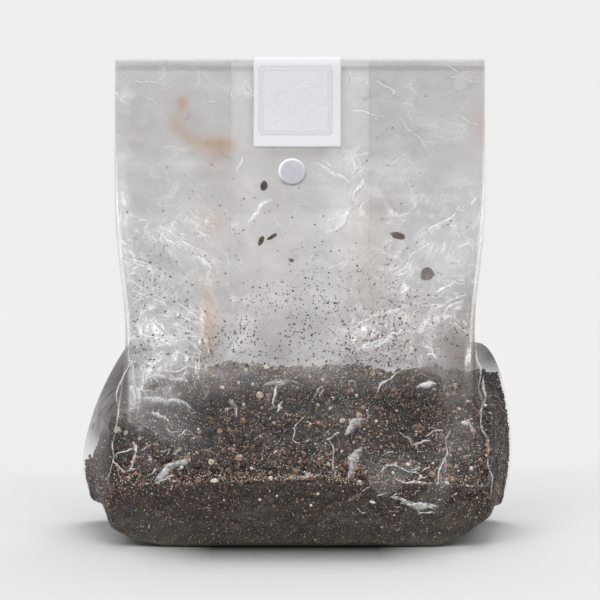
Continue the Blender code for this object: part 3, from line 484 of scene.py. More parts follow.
front_creases = np.concatenate([pinch_creases(), scattered(FRONT_ZONES, 11)])
rear_creases = scattered(REAR_ZONES, 12)
gusset_creases = {1: scattered(GUSSET_ZONES, 13), -1: scattered(GUSSET_ZONES, 14)}


def quiet(x, z, cx, cz, half_x, half_z, margin):
    """0 inside a box on the panel and 1 outside it, over a margin."""
    outside = np.maximum(np.abs(x - cx) - half_x, np.abs(z - cz) - half_z)
    return smooth_step(outside, 0.0, margin)


def crinkle_strength(z):
    """How much room crinkles have: little between the flat layers of the top, more where the bag stands open."""
    return 0.30 + 0.70 * smooth_step(half_depth(z), 0.003, 0.014)


def pressed_out(relief, pressed):
    """Dents are mostly gone where the heap presses the film outwards."""
    return np.where(relief < 0.0, relief * (1.0 - 0.75 * pressed), relief)


def soil_top(x, y):
    """Height of the heap: a smooth ramp from the front up to the back, low in the back left corner."""
    rise = smooth_step(y, -0.92 * BASE_HALF_DEPTH, 0.50 * BASE_HALF_DEPTH)
    height = SOIL_FRONT_HEIGHT + (SOIL_BACK_HEIGHT - SOIL_FRONT_HEIGHT) * rise
    corner = smooth_step(-x, 0.80 * HALF_PANEL, 1.05 * HALF_PANEL)
    corner = corner * smooth_step(y, -0.2 * BASE_HALF_DEPTH, 0.5 * BASE_HALF_DEPTH)
    crown = SOIL_CROWN * (1.0 - smooth_step(np.abs(x), 0.0, 0.75 * HALF_PANEL)) * (1.0 - rise)
    crown = crown + 0.0026 * soft_noise(np.stack([x, 0.4 * y, 0.0 * x], axis=-1), 0.024, 23)
    crown = crown + 0.0016 * np.exp(-((x / 0.030) ** 2)) * rise
    return height + crown - SOIL_LEFT_CORNER_DROP * corner


def front_relief(x, z):
    """How far the front panel stands out of its plain shape: crinkles and broad soft dents, flat under the
    patch and port, and nowhere pressed into the heap."""
    flat = quiet(x, z, PATCH_OFFSET, BAG_HEIGHT - 0.026, 0.0225, 0.024, 0.004)
    flat = flat * quiet(x, z, PORT_OFFSET, PORT_HEIGHT, 0.0075, 0.0075, 0.005)
    flat = flat * smooth_step(HALF_PANEL - np.abs(x), 0.001, 0.008) * smooth_step(z, 0.004, 0.016)
    broad = layered_noise(np.stack([x, 0.0 * x, z], axis=-1), (0.0011, 0.034, 3), (0.0006, 0.015, 4))
    relief = (tents(x, z, front_creases) + broad) * flat * crinkle_strength(z)
    pressed = 1.0 - smooth_step(z, 0.034, 0.050)
    return pressed_out(relief * (1.0 - 0.45 * pressed) + 0.0004 * pressed, pressed)


def rear_relief(x, z):
    """The same for the rear panel, which stands a little off the heap."""
    broad = layered_noise(np.stack([x, 1.0 + 0.0 * x, z], axis=-1), (0.0010, 0.034, 5), (0.0005, 0.015, 6))
    relief = (tents(x, z, rear_creases) + broad) * crinkle_strength(z) * smooth_step(z, 0.004, 0.016)
    pressed = 1.0 - smooth_step(z, 0.088, 0.104)
    relief = relief * smooth_step(0.130 - np.abs(x), 0.001, 0.008) * (1.0 - 0.35 * pressed)
    return pressed_out(relief, pressed) + 0.0003 * pressed


def gusset_relief(y, z, side):
    """The same for a gusset, sideways, and only where the bag stands open."""
    broad = layered_noise(np.stack([0.0 * y + side, y, z], axis=-1), (0.0012, 0.026, 7), (0.0006, 0.012, 8))
    relief = tents(y, z, gusset_creases[side]) + broad
    relief = relief * smooth_step(half_depth(z), 0.006, 0.022) * smooth_step(z, 0.004, 0.018)
    pressed = 1.0 - smooth_step(z, 0.070, 0.095)
    return pressed_out(relief, pressed) + 0.0003 * pressed


def crinkled_film():
    """The film's rows of points with belly, waves and crinkles: panels move along Y, gussets along X."""
    rows, columns = film_base.shape[:2]
    row = np.arange(rows)[:, None]
    on_wall = (row >= WALL_START) & (row < TURN_START)
    on_panel = np.broadcast_to(ply_share[None, :] <= 0.0, (rows, columns))
    flat_x, flat_y, flat_z = film_base.reshape(-1, 3).T
    z = film_base[..., 2]
    rounding = (row >= WALL_START - 9) & (row < TURN_START)
    fuller = np.clip(z / EDGE_HEIGHT, 0.0, 1.0) ** 0.5
    swell = np.where(rounding & on_panel, panel_swell(film_base[..., 0], z) * fuller, 0.0)
    moved = shaped(film_base)
    moved[..., 1] += np.where(column_rear, 1.0, -1.0) * swell
    front = front_relief(flat_x, flat_z).reshape(rows, columns)
    rear = rear_relief(flat_x, flat_z).reshape(rows, columns)
    start_low = smooth_step(z, EDGE_HEIGHT, 0.014)
    edge_fade = smooth_step(1.0 - panel_share, 0.0, 0.06)
    shift = np.where(column_rear, rear, -front) * start_low * edge_fade
    moved[..., 1] += np.where(on_wall & on_panel, shift, 0.0)
    settle = np.clip((row - TURN_START) / (FLAP_START - TURN_START), 0.0, 1.0)
    moved[..., 1] += np.where(row >= TURN_START, rear * settle, 0.0)
    ply_fade = smooth_step(ply_share, 0.0, 0.18)
    for side in (1, -1):
        bulge = gusset_relief(flat_y, flat_z, side).reshape(rows, columns) * ply_fade * start_low
        moved[..., 0] += np.where(on_wall & (column_side == side), side * bulge, 0.0)
    moved[..., 2] = np.maximum(moved[..., 2], 0.0002)
    return moved


def swayed(x, y, z):
    """Points at given offsets, depths and heights, moved by the film's waves and kept at their heights."""
    points = shaped(np.stack([x, y, z], axis=-1))
    points[..., 2] = z
    return points


def front_surface(x, z):
    """The film's place in front for given offsets and heights: panel, belly, waves and crinkles."""
    points = swayed(x, -half_depth(z), z)
    points[..., 1] -= panel_swell(x, z) + front_relief(x.ravel(), z.ravel()).reshape(x.shape)
    return points


def rear_surface(x, z):
    """The film's outer skin behind: the flap's where it hangs, the rear panel's under its end."""
    hung = 2.0 * FOLD_RADIUS + FLAT_HALF_DEPTH - half_depth(FOLD_CENTRE_Z)
    points = swayed(x, half_depth(z), z)
    points[..., 1] += np.where(z > FOLD_CENTRE_Z - FLAP_LENGTH, hung, panel_swell(x, z))
    points[..., 1] += rear_relief(x.ravel(), z.ravel()).reshape(x.shape)
    return points


film_grid = crinkled_film()


# Materials

class Tree:
    """A short way to place and link the nodes of one material or group, with its end sockets."""

    def __init__(self, tree, end=None):
        self.tree, self.end = tree, end

    def fill(self, sockets, values):
        """Links each value that is a socket to its own, and sets the others as they are."""
        for name, value in values.items():
            if isinstance(value, bpy.types.NodeSocket):
                self.tree.links.new(value, sockets[name])
            else:
                sockets[name].default_value = value

    def node(self, kind, values=None, **settings):
        """The outputs of a new node with its settings and input values."""
        made = self.tree.nodes.new("ShaderNode" + kind)
        for name, value in settings.items():
            setattr(made, name, value)
        self.fill(made.inputs, values or {})
        return made.outputs

    def maths(self, operation, a, b=0.0, clamp=False):
        """Two numbers joined by an operation, from 0 to 1 if clamped."""
        return self.node("Math", {0: a, 1: b}, operation=operation, use_clamp=clamp)[0]

    def times(self, a, b, clamp=False):
        """One number times the other."""
        return self.maths("MULTIPLY", a, b, clamp)

    def plus(self, a, b, clamp=False):
        """One number plus the other."""
        return self.maths("ADD", a, b, clamp)

    def vector(self, operation, a, b):
        """Two vectors joined by an operation."""
        return self.node("VectorMath", {0: a, 1: b}, operation=operation)[0]

    def axes(self, place):
        """The three numbers of a place."""
        return self.node("SeparateXYZ", {0: place})

    def flat(self, across, up):
        """A flat place from two numbers."""
        return self.node("CombineXYZ", {0: across, 1: up})[0]

    def span(self, value, low, high, to_low=0.0, to_high=1.0):
        """A straight line from one range of values to another, held at both ends."""
        ends = {"From Min": low, "From Max": high, "To Min": to_low, "To Max": to_high}
        return self.node("MapRange", {"Value": value, **ends})["Result"]

    def blend(self, share, a, b):
        """Colour a where the share is 0 and b where it is 1."""
        return self.node("Mix", {0: share, 6: a, 7: b}, data_type="RGBA")[2]

    def mapped(self, place, **values):
        """A place turned and stretched."""
        return self.node("Mapping", {"Vector": place, **values})[0]

    def noise(self, place, scale, detail=2.0, roughness=0.5, space="3D", output="Fac"):
        """Cloudy noise about a half, with lumps one over the scale wide."""
        values = {"Vector": place, "Scale": scale, "Detail": detail, "Roughness": roughness}
        return self.node("TexNoise", values, noise_dimensions=space)[output]

    def wave(self, place, scale, distortion, direction):
        """Stripes: a sine along a direction, bent by noise."""
        values = {"Vector": place, "Scale": scale, "Distortion": distortion, "Detail": 1.0}
        return self.node("TexWave", values, bands_direction=direction)["Fac"]

    def cells(self, place, scale, feature="DISTANCE_TO_EDGE", output="Distance"):
        """Flat random cells: the distance to the nearest border, or another of their facts."""
        values = {"Vector": place, "Scale": scale}
        return self.node("TexVoronoi", values, feature=feature, voronoi_dimensions="2D")[output]

    def ramp(self, value, *stops):
        """A colour by value through its stops. The first two given are its ends."""
        made = self.tree.nodes.new("ShaderNodeValToRGB")
        self.fill(made.inputs, {"Fac": value})
        for index, (place, shade) in enumerate(stops):
            elements = made.color_ramp.elements
            stop = elements[index] if index < 2 else elements.new(place)
            stop.position, stop.color = place, shade
        return made.outputs["Color"]

    def read(self, name):
        """The number that the mesh keeps at each point under a name."""
        return self.node("Attribute", attribute_name=name)["Fac"]

    def place(self):
        """Each point's place on the piece's own axes."""
        return self.node("TexCoord")["Object"]

    def bump(self, strength, distance, height):
        """The surface's direction, leant by a height's slope."""
        return self.node("Bump", {"Strength": strength, "Distance": distance, "Height": height})["Normal"]

    def finish(self, values, hidden=None):
        """Ends a material in a Principled shader, which a clear one thins to its hidden share if one is given."""
        shader = self.node("BsdfPrincipled", values)[0]
        if hidden is not None:
            shader = self.node("MixShader", {0: hidden, 1: self.node("BsdfTransparent")[0], 2: shader})[0]
        self.fill(self.end, {"Surface": shader})


def colour(red, green, blue):
    """An sRGB colour of 0 to 255 as the linear colour that a shader takes."""
    values = np.array([red, green, blue]) / 255.0
    linear = np.where(values <= 0.04045, values / 12.92, ((values + 0.055) / 1.055) ** 2.4)
    return (*linear.tolist(), 1.0)


def new_material(name):
    """An empty material and its tree."""
    material = bpy.data.materials.new(name)
    material.use_nodes = True
    nodes = material.node_tree.nodes
    nodes.clear()
    return material, Tree(material.node_tree, nodes.new("ShaderNodeOutputMaterial").inputs)


def new_group(name, inputs, outputs):
    """An empty node group with named sockets, its tree and its start sockets."""
    group = bpy.data.node_groups.new(name, "ShaderNodeTree")
    for way, sockets in (("INPUT", inputs), ("OUTPUT", outputs)):
        for label, kind in sockets.items():
            group.interface.new_socket(label, in_out=way, socket_type="NodeSocket" + kind)
    start = group.nodes.new("NodeGroupInput").outputs
    return group, Tree(group, group.nodes.new("NodeGroupOutput").inputs), start


def crinkle_group():
    """Creased film, from a place on its face (across, up). Points are sheared upward by their distance from the
    middle, warped by noise and stretched, then cut into two sizes of cells. Lines are the cells' edges, faded in
    and out by noise; Facets is a random value for each large cell; Height is the distance to the large cells'
    edges, which makes each one a roof."""
    group, tree, start = new_group("film_crinkles", {"Place": "Vector", "Scale": "Float"},
                                   {"Lines": "Float", "Facets": "Float", "Height": "Float"})
    place, scale = start["Place"], start["Scale"]
    across, up, _ = tree.axes(place)
    lean = tree.times(tree.maths("ABSOLUTE", across), 0.75)
    flat = tree.flat(tree.times(across, 0.62), tree.times(tree.maths("SUBTRACT", up, lean), 1.25))
    swirl = tree.vector("SUBTRACT", tree.noise(flat, 40.0, 2.0, 0.5, "2D", "Color"), (0.5, 0.5, 0.5))
    bent = tree.vector("ADD", flat, tree.vector("MULTIPLY", swirl, (0.018,) * 3))
    shown = tree.span(tree.noise(place, 38.0, 1.0, 0.5, "2D"), 0.46, 0.62)
    large, small = tree.cells(bent, scale), tree.cells(bent, tree.times(scale, 2.4))
    edges = tree.maths("MAXIMUM", tree.span(large, 0.0, 0.035, 1.0, 0.0), tree.span(small, 0.0, 0.05, 0.8, 0.0))
    facets = tree.node("SeparateColor", {0: tree.cells(bent, scale, "F1", "Color")})[0]
    tree.fill(tree.end, {"Lines": tree.times(edges, shown), "Facets": facets, "Height": large})
    return group


def dust_group():
    """Dusty film: Hidden is its own haze times Clouds, a soft noise. Tint is a milky grey, paler with the
    clouds, which turns soil brown where the film is dim."""
    group, tree, start = new_group("film_dust", {"Place": "Vector", "Haze": "Float", "Dim": "Float"},
                                   {"Hidden": "Float", "Tint": "Color", "Clouds": "Float"})
    clouds = tree.span(tree.noise(start["Place"], 38.0, 2.0, 0.6, "2D"), 0.30, 0.70, 0.76, 1.24)
    milky = tree.blend(tree.span(clouds, 0.76, 1.24), colour(207, 204, 203), colour(222, 221, 222))
    tree.fill(tree.end, {"Hidden": tree.times(start["Haze"], clouds), "Clouds": clouds,
                         "Tint": tree.blend(start["Dim"], milky, colour(70, 62, 55))})
    return group


CRINKLES = crinkle_group()
DUST = dust_group()
# The white of the creases: partly whitened folds, partly painted highlight.
CREASE_WHITENING_AND_HIGHLIGHT = colour(250, 249, 250)


def film_material(name, in_front):
    """Clear film: dusty haze, brown stains and white creases hide what is behind it, the rest shows through. The
    share hidden is the mesh's own haze, broken up by noises, plus the creases of the crinkled zones. Both
    read a place on the film's face: x and 0.8 of y across, z up. The creases' white is partly whitened folds and
    partly painted highlight, and the facets' sheen in front is a painted sheen."""
    material, tree = new_material(name)
    x, y, z = tree.axes(tree.place())
    face = tree.flat(tree.plus(x, tree.times(y, 0.8)), z)
    zone = tree.read("crinkled")
    values = {"Place": face, "Haze": tree.read("haze"), "Dim": tree.read("dim")}
    dust = tree.node("Group", values, node_tree=DUST)
    hidden, tint = dust["Hidden"], dust["Tint"]
    if in_front:
        stain = tree.read("stain")
        streaked = tree.mapped(face, Scale=(0.12, 1.0, 1.0))
        hidden = tree.times(hidden, tree.span(tree.noise(streaked, 150.0, 1.0, 0.5, "2D"), 0.30, 0.70, 0.78, 1.22))
        folds = tree.node("Group", node_tree=CRINKLES, values={"Place": face, "Scale": 58.0})
        lines = tree.times(folds["Lines"], zone)
        # Painted sheen: random facets of the crinkled zones are made whiter and less clear.
        sheen = tree.times(tree.span(folds["Facets"], 0.45, 0.95), tree.maths("POWER", zone, 1.5))
        for value, share in ((sheen, 0.50), (lines, 0.50), (stain, 0.38)):
            hidden = tree.plus(hidden, tree.times(value, share))
        tint = tree.blend(tree.span(stain, 0.0, 0.55), tint, colour(190, 150, 112))
        # Painted highlight, partly whitened folds: crease lines and facet sheen turn the film white.
        white = tree.plus(lines, tree.times(sheen, 0.6), True)
        height = tree.times(folds["Height"], tree.span(zone, 0.0, 1.0, 0.15, 1.0))
    else:
        swirl = tree.vector("MULTIPLY", tree.noise(face, 34.0, 1.0, 0.5, "2D", "Color"), (0.045,) * 3)
        bent = tree.mapped(
            tree.vector("ADD", face, swirl), Rotation=(0.0, 0.0, 28.0 * DEGREE), Scale=(0.55, 1.3, 1.0))
        shown = tree.times(tree.span(dust["Clouds"], 0.96, 1.14), zone, True)
        # Crease lines behind: white partly as whitened folds and partly as painted highlight.
        white = tree.times(tree.span(tree.cells(bent, 62.0), 0.0, 0.045, 1.0, 0.0), shown)
        hidden = tree.plus(hidden, tree.times(white, 0.22))
        height = tree.noise(face, 70.0, 1.0, 0.5, "2D")
    grazing = tree.maths("POWER", tree.node("LayerWeight", {"Blend": 0.22})["Facing"], 4.0)
    hidden = tree.plus(hidden, tree.times(grazing, 0.12))
    hidden = tree.maths("MINIMUM", tree.maths("MAXIMUM", hidden, 0.015), 0.95)
    rough, gloss, coat, depth = (0.14, 0.8, 0.6, 0.55) if in_front else (0.30, 0.3, 0.12, 0.3)
    tree.finish({"Base Color": tree.blend(white, tint, CREASE_WHITENING_AND_HIGHLIGHT), "Roughness": rough, "Specular IOR Level": gloss,
                 "IOR": 1.5, "Coat Weight": coat, "Coat Roughness": 0.07,
                 "Normal": tree.bump(depth, 0.0022, height)}, hidden)
    return material


def pinch_highlight_material():
    """The film where it is pinched into a sharp fold: white and bright along the crest, fading to clear, partly as
    a whitened fold and partly as a painted highlight.
    """
    material, tree = new_material("film_pinch_highlight")
    place = tree.place()
    broken = tree.span(tree.noise(place, 430.0, 2.0, 0.6), 0.36, 0.58, 0.30, 1.0)
    tree.finish({
        "Base Color": tree.blend(broken, colour(236, 235, 236), colour(254, 254, 255)), "Roughness": 0.22,
        "Specular IOR Level": 0.9, "Coat Weight": 0.5, "Coat Roughness": 0.1,
        "Normal": tree.bump(0.3, 0.0006, tree.noise(place, 500.0, 2.0))}, tree.times(tree.read("fade"), broken, True))
    return material


def soil_material():
    """Moist growing mix: each crumb's own tone through a ramp of browns, mottled, with damp glints. Low down it
    is packed and greyer, with a ragged upper limit, and it is painted palest at the foot, painted light against
    the shade there."""
    material, tree = new_material("dark_soil")
    place = tree.place()
    mottle = tree.span(tree.noise(place, 620.0, 4.0, 0.65), 0.3, 0.7, -0.24, 0.24)
    base = tree.ramp(
        tree.plus(tree.read("tone"), mottle, True),
        (0.0, colour(8, 5, 4)), (1.0, colour(255, 249, 242)), (0.25, colour(34, 21, 16)),
        (0.50, colour(109, 75, 57)), (0.72, colour(172, 138, 113)), (0.88, colour(224, 205, 181)))
    up = tree.axes(place)[2]
    ragged = tree.plus(up, tree.span(tree.noise(place, 60.0, 3.0), 0.3, 0.7, -0.010, 0.010))
    base = tree.blend(tree.span(ragged, 0.010, 0.026, 0.40, 0.0), base, colour(74, 74, 66))
    # Painted light: the lowest few millimetres are lightened against the shade at the foot.
    base = tree.blend(tree.span(up, 0.002, 0.008, 0.40, 0.0), base, colour(128, 124, 112))
    tree.finish({"Base Color": base, "Roughness": tree.span(tree.noise(place, 700.0, 2.0), 0.45, 0.62, 0.32, 0.85),
                 "Specular IOR Level": 0.6, "Normal": tree.bump(0.6, 0.0005, tree.noise(place, 1400.0, 3.0, 0.6))})
    return material


def patch_material():
    """White nonwoven filter: a fine slanted hatch of pressed dots and stray fibres."""
    material, tree = new_material("white_nonwoven")
    place, inside = tree.place(), tree.read("inside")
    turned = tree.mapped(place, Rotation=(0.0, 125.0 * DEGREE, 0.0))
    cross = tree.span(tree.wave(turned, 380.0, 1.6, "Z"), 0.0, 1.0, 0.55, 1.0)
    hatch = tree.times(tree.times(tree.wave(turned, 285.0, 2.2, "X"), cross), inside)
    fibres = tree.noise(place, 900.0, 4.0, 0.7)
    base = tree.blend(inside, colour(227, 227, 230), colour(246, 246, 249))
    base = tree.blend(tree.span(hatch, 0.05, 0.75), base, colour(213, 214, 219))
    base = tree.blend(tree.span(fibres, 0.38, 0.66, 0.45, 0.0), base, colour(216, 217, 221))
    base = tree.blend(tree.read("weld"), base, colour(196, 197, 203))
    tree.finish({"Base Color": base, "Roughness": 0.85, "Specular IOR Level": 0.3, "Sheen Weight": 0.15,
                 "Normal": tree.bump(0.8, 0.0004, tree.plus(hatch, tree.times(fibres, 0.9)))})
    return material


def port_material():
    """Pale self healing rubber with a faint bloom and tiny pits, with a painted highlight and painted shade round
    its rim.
    """
    material, tree = new_material("port_rubber")
    place = tree.place()
    bloom = tree.span(tree.noise(place, 240.0, 3.0), 0.35, 0.65)
    base = tree.blend(bloom, colour(174, 174, 182), colour(184, 184, 191))
    # Painted highlight: the rim band is whitened on its upper left.
    base = tree.blend(tree.read("rim"), base, colour(243, 243, 246))
    # Painted shade: the rim's outer edge is darkened on its lower right.
    base = tree.blend(tree.read("shade"), base, colour(128, 128, 136))
    tree.finish({"Base Color": base, "Roughness": tree.span(bloom, 0.0, 1.0, 0.40, 0.52), "Specular IOR Level": 0.5,
                 "Normal": tree.bump(0.12, 0.0003, tree.noise(place, 1600.0, 2.0))})
    return material


def bark_material():
    """Dry bark and husk: dark fibres along a grain, greyer on the raised parts."""
    material, tree = new_material("bark_brown")
    grain = tree.noise(tree.place(), 900.0, 4.0, 0.65)
    base = tree.ramp(
        tree.plus(tree.read("tone"), tree.span(grain, 0.3, 0.7, -0.2, 0.2), True),
        (0.0, colour(24, 21, 20)), (1.0, colour(150, 140, 134)),
        (0.30, colour(76, 43, 31)), (0.55, colour(82, 72, 68)))
    tree.finish({"Base Color": base, "Roughness": 0.78, "Normal": tree.bump(0.5, 0.0004, grain)})
    return material


FILM = film_material("clear_film", True)
FILM_BEHIND = film_material("clear_film_behind", False)
PINCH_HIGHLIGHT = pinch_highlight_material()
SOIL = soil_material()
PATCH = patch_material()
PORT = port_material()
BARK = bark_material()


# Film bag

def loop_faces(rows, columns):
    """Quads of a grid that closes along its rows, outward for loops that run anticlockwise and rise."""
    index = np.arange(rows * columns).reshape(rows, columns)
    ahead = np.roll(index, -1, axis=1)
    return np.stack([index[:-1], ahead[:-1], ahead[1:], index[1:]], axis=2)


def closed_rings(rings, first, last):
    """Rings of points closed by fans to a first and a last point, as points and triangles that face outward
    where the rings run anticlockwise and rise."""
    count, around = rings.shape[:2]
    points = np.concatenate([[first], rings.reshape(-1, 3), [last]])
    quads = loop_faces(count, around).reshape(-1, 4) + 1
    column = np.arange(around)
    ahead, top = (column + 1) % around, 1 + (count - 1) * around
    low_fan = np.column_stack([0 * column, 1 + ahead, 1 + column])
    high_fan = np.column_stack([top + column, top + ahead, 0 * column + len(points) - 1])
    return points, np.concatenate([quads[:, [0, 1, 2]], quads[:, [0, 2, 3]], low_fan, high_fan])


def blobs(x, z, spots):
    """Soft spots: a sum of bells (x, z, half width x, half width z, strength), in millimetres."""
    total = np.zeros_like(x)
    for cx, cz, sx, sz, strength in spots:
        total += strength * np.exp(-(((x - cx * MM) / (sx * MM)) ** 2) - ((z - cz * MM) / (sz * MM)) ** 2)
    return total


# Spots on the film: brown stains, more and less haze, some of it a painted highlight on bright folds, haze at
# the sides, darker places, the clinging bits' places, which stay clear, and places without crinkles
STAINS = (
    (-64.5, 236, 3.5, 5, 0.55), (-68, 225, 4.5, 6, 0.40), (-62, 219, 6, 5, 0.38), (-51, 214, 9, 4.5, 0.50),
    (-40, 213, 6, 5, 0.48), (-46, 205, 6, 6, 0.30), (-48, 170, 9, 9, 0.24), (-48, 118, 4.5, 26, 0.42),
    (37, 152, 11, 30, 0.22), (99, 222, 3, 12, 0.35), (-20, 160, 26, 40, 0.08), (60, 110, 40, 20, 0.12),
    (0, 259, 110, 3, 0.16))
HAZE_AND_HIGHLIGHT_SPOTS = (
    (-72, 106, 20, 20, 0.12), (-62, 92, 17, 8, 0.24), (-92, 78, 10, 15, 0.80), (-92, 172, 9, 8, 0.25),
    (-92, 206, 9, 14, 0.10), (-66, 76, 13, 8, 0.13), (-44, 88, 12, 7, 0.14), (-74, 66, 14, 18, 0.05),
    (84, 84, 9, 24, 0.28), (88, 108, 8, 22, 0.16), (56, 36, 18, 9, 0.03), (4, 72, 24, 10, 0.03),
    (-97, 212, 9, 34, 0.25), (-32, 112, 9, 13, 0.36), (26, 176, 9, 9, 0.30), (28, 102, 9, 8, 0.22),
    (-60, 196, 20, 12, 0.12), (52, 188, 18, 14, 0.14), (-58, 150, 22, 10, -0.08))
SIDE_HAZE = ((-112, 66, 12, 26, 0.95), (-100, 90, 12, 20, 0.34), (112, 98, 8, 6, 0.20))
DIM_SPOTS = (
    (-108, 62, 16, 30, 1.0), (-94, 80, 10, 18, 0.55), (-91, 52, 10, 20, 0.60), (88, 88, 14, 26, 0.70),
    (0, 104, 110, 16, 0.12), (0, 258, 110, 4, 0.17), (88, 128, 12, 14, 0.28), (108, 78, 13, 34, 0.90),
    (0, 20, 120, 16, 0.36), (-92, 155, 9, 12, 0.12), (-84, 142, 14, 20, 0.24), (-32, 112, 12, 14, -0.16),
    (-66, 114, 12, 8, 0.12), (98, 150, 6, 10, 0.35), (98, 126, 6, 9, 0.25))
BITS_AT = (
    (-20, 190, 4, 5, 0.95), (-21, 160, 4, 5, 0.9), (-15, 162, 5, 4, 0.9), (-4, 150, 3, 3, 0.8), (53, 163, 7, 5, 0.85),
    (68, 143, 7, 7, 0.55))
CALM_SPOTS = (
    (24, 196, 9, 9, 0.6), (88, 146, 10, 10, 0.8), (88, 128, 9, 9, 0.6), (68, 143, 8, 8, 0.7), (53, 163, 7, 6, 0.8))
# The zones that also carry small pinches, with stronger crinkles, crease lines and painted sheen above the heap
PINCHED_ZONES = 16
CRINKLE_SHEEN_SPOTS = [(*zone[:4], 0.9 if zone[1] > 95 else 0.4) for zone in FRONT_ZONES[:PINCHED_ZONES]]

# The window that the patch covers, inside its weld
WINDOW_HALF_WIDTH = 0.5 * PATCH_SIZE[0] - 0.0075
WINDOW_ENDS = (0.2170, 0.2510)


def film_bag():
    """The bag: the crinkled film's rows as one tube, with the patch's window left open and the bottom welded.
    Haze hides, in places as a painted highlight, dim darkens, stain browns and crinkled roughens the film and
    sets its crease lines and painted sheen, each by heights and spots."""
    rows, columns = film_grid.shape[:2]
    row = np.arange(rows)[:, None]
    x, _, z = film_base.reshape(-1, 3).T
    def spread(mask):
        """A mask of rows or columns as one value for each point."""
        return np.broadcast_to(mask, (rows, columns)).ravel()
    front, rear = spread(~column_rear & (ply_share <= 0.0)), spread(column_rear & (ply_share <= 0.0))
    on_flap, turning = spread(row >= TURN_START), spread((row >= TURN_START - 2) & (row < FLAP_START))
    window = spread(~column_rear & (panel_share < 0.5) & (row >= WALL_START) & (row < TURN_START + 1))
    window = window & (np.abs(x - PATCH_OFFSET) < WINDOW_HALF_WIDTH) & (z > WINDOW_ENDS[0]) & (z < WINDOW_ENDS[1])
    kept = ~window[:-columns]
    over_soil = 1.0 - smooth_step(z, 0.074, 0.106)
    haze = 0.25 + 0.07 * smooth_step(z, 0.16, 0.10) - 0.292 * over_soil - 0.020 * smooth_step(0.050 - z, 0.0, 0.01)
    haze = (haze + blobs(x, z, HAZE_AND_HIGHLIGHT_SPOTS)) * (1.0 - blobs(x, z, BITS_AT))
    behind = 0.74 - 0.66 * (1.0 - smooth_step(z, 0.080, 0.094))
    side = 0.30 - 0.285 * (1.0 - smooth_step(z, 0.070, 0.094))
    haze = np.where(front, haze, np.where(rear, behind, side) + blobs(x, z, SIDE_HAZE))
    haze = np.where(on_flap, np.where(front, 0.34, 0.12), haze)
    zone = np.clip(blobs(x, z, CRINKLE_SHEEN_SPOTS), 0.0, 1.0) * (1.0 - np.clip(blobs(x, z, CALM_SPOTS), 0.0, 1.0))
    dim = 0.18 * (1.0 - smooth_step(z, 0.100, 0.150)) * smooth_step(z, 0.050, 0.080)
    bag = make_piece(
        "film_tube", film_grid, loop_faces(rows, columns).reshape(-1, 4)[kept], FILM, haze=haze,
        stain=np.clip(blobs(x, z, STAINS) * front * ~on_flap, 0.0, 0.8),
        dim=np.clip(dim + blobs(x, z, DIM_SPOTS) + 0.22 * turning, 0.0, 1.0),
        crinkled=np.where(front, zone, 0.15 + 0.45 * smooth_step(z, 0.088, 0.100)))
    bag.data.materials.append(FILM_BEHIND)
    bag.data.polygons.foreach_set("material_index", (~front | on_flap)[:-columns][kept].astype(np.int32))
    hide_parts("film_bag")


# Pinched creases

# Zones of small pinches behind, in millimetres and degrees
REAR_PINCHES = (
    (0, 215, 92, 30, 70, 20, 90, 16, 1.0, 0.5), (0, 140, 86, 30, 90, 40, 90, 18, 1.0, 0.5),
    (60, 220, 30, 22, 40, 50, 60, 16, 1.0, 0.5), (-70, 150, 22, 26, 60, 60, 60, 18, 1.0, 0.5),
    (0, 60, 96, 34, 50, 30, 90, 16, 1.0, 0.5))


def small_pinches(zones, share, seed):
    """Short creases scattered through crinkled zones, as ends, width, strength and bend."""
    generator = np.random.default_rng(seed)
    rows = []
    for cx, cz, sx, sz, count, angle, turn, length, *_ in zones:
        draw = generator.uniform(-1.0, 1.0, (6, int(share * count)))
        x, z = cx + 0.9 * sx * draw[0], cz + 0.9 * sz * draw[1]
        lean = np.radians(angle + turn * draw[2])
        half = 0.28 * length * (1.0 + 0.7 * draw[3])
        dx, dz = half * np.cos(lean), half * np.sin(lean)
        rows.append(np.column_stack([x - dx, z - dz, x + dx, z + dz, 0.60 + 0.35 * draw[4], 0.50 + 0.3 * draw[5],
                                     0.22 * draw[2]]))
    return np.concatenate(rows)


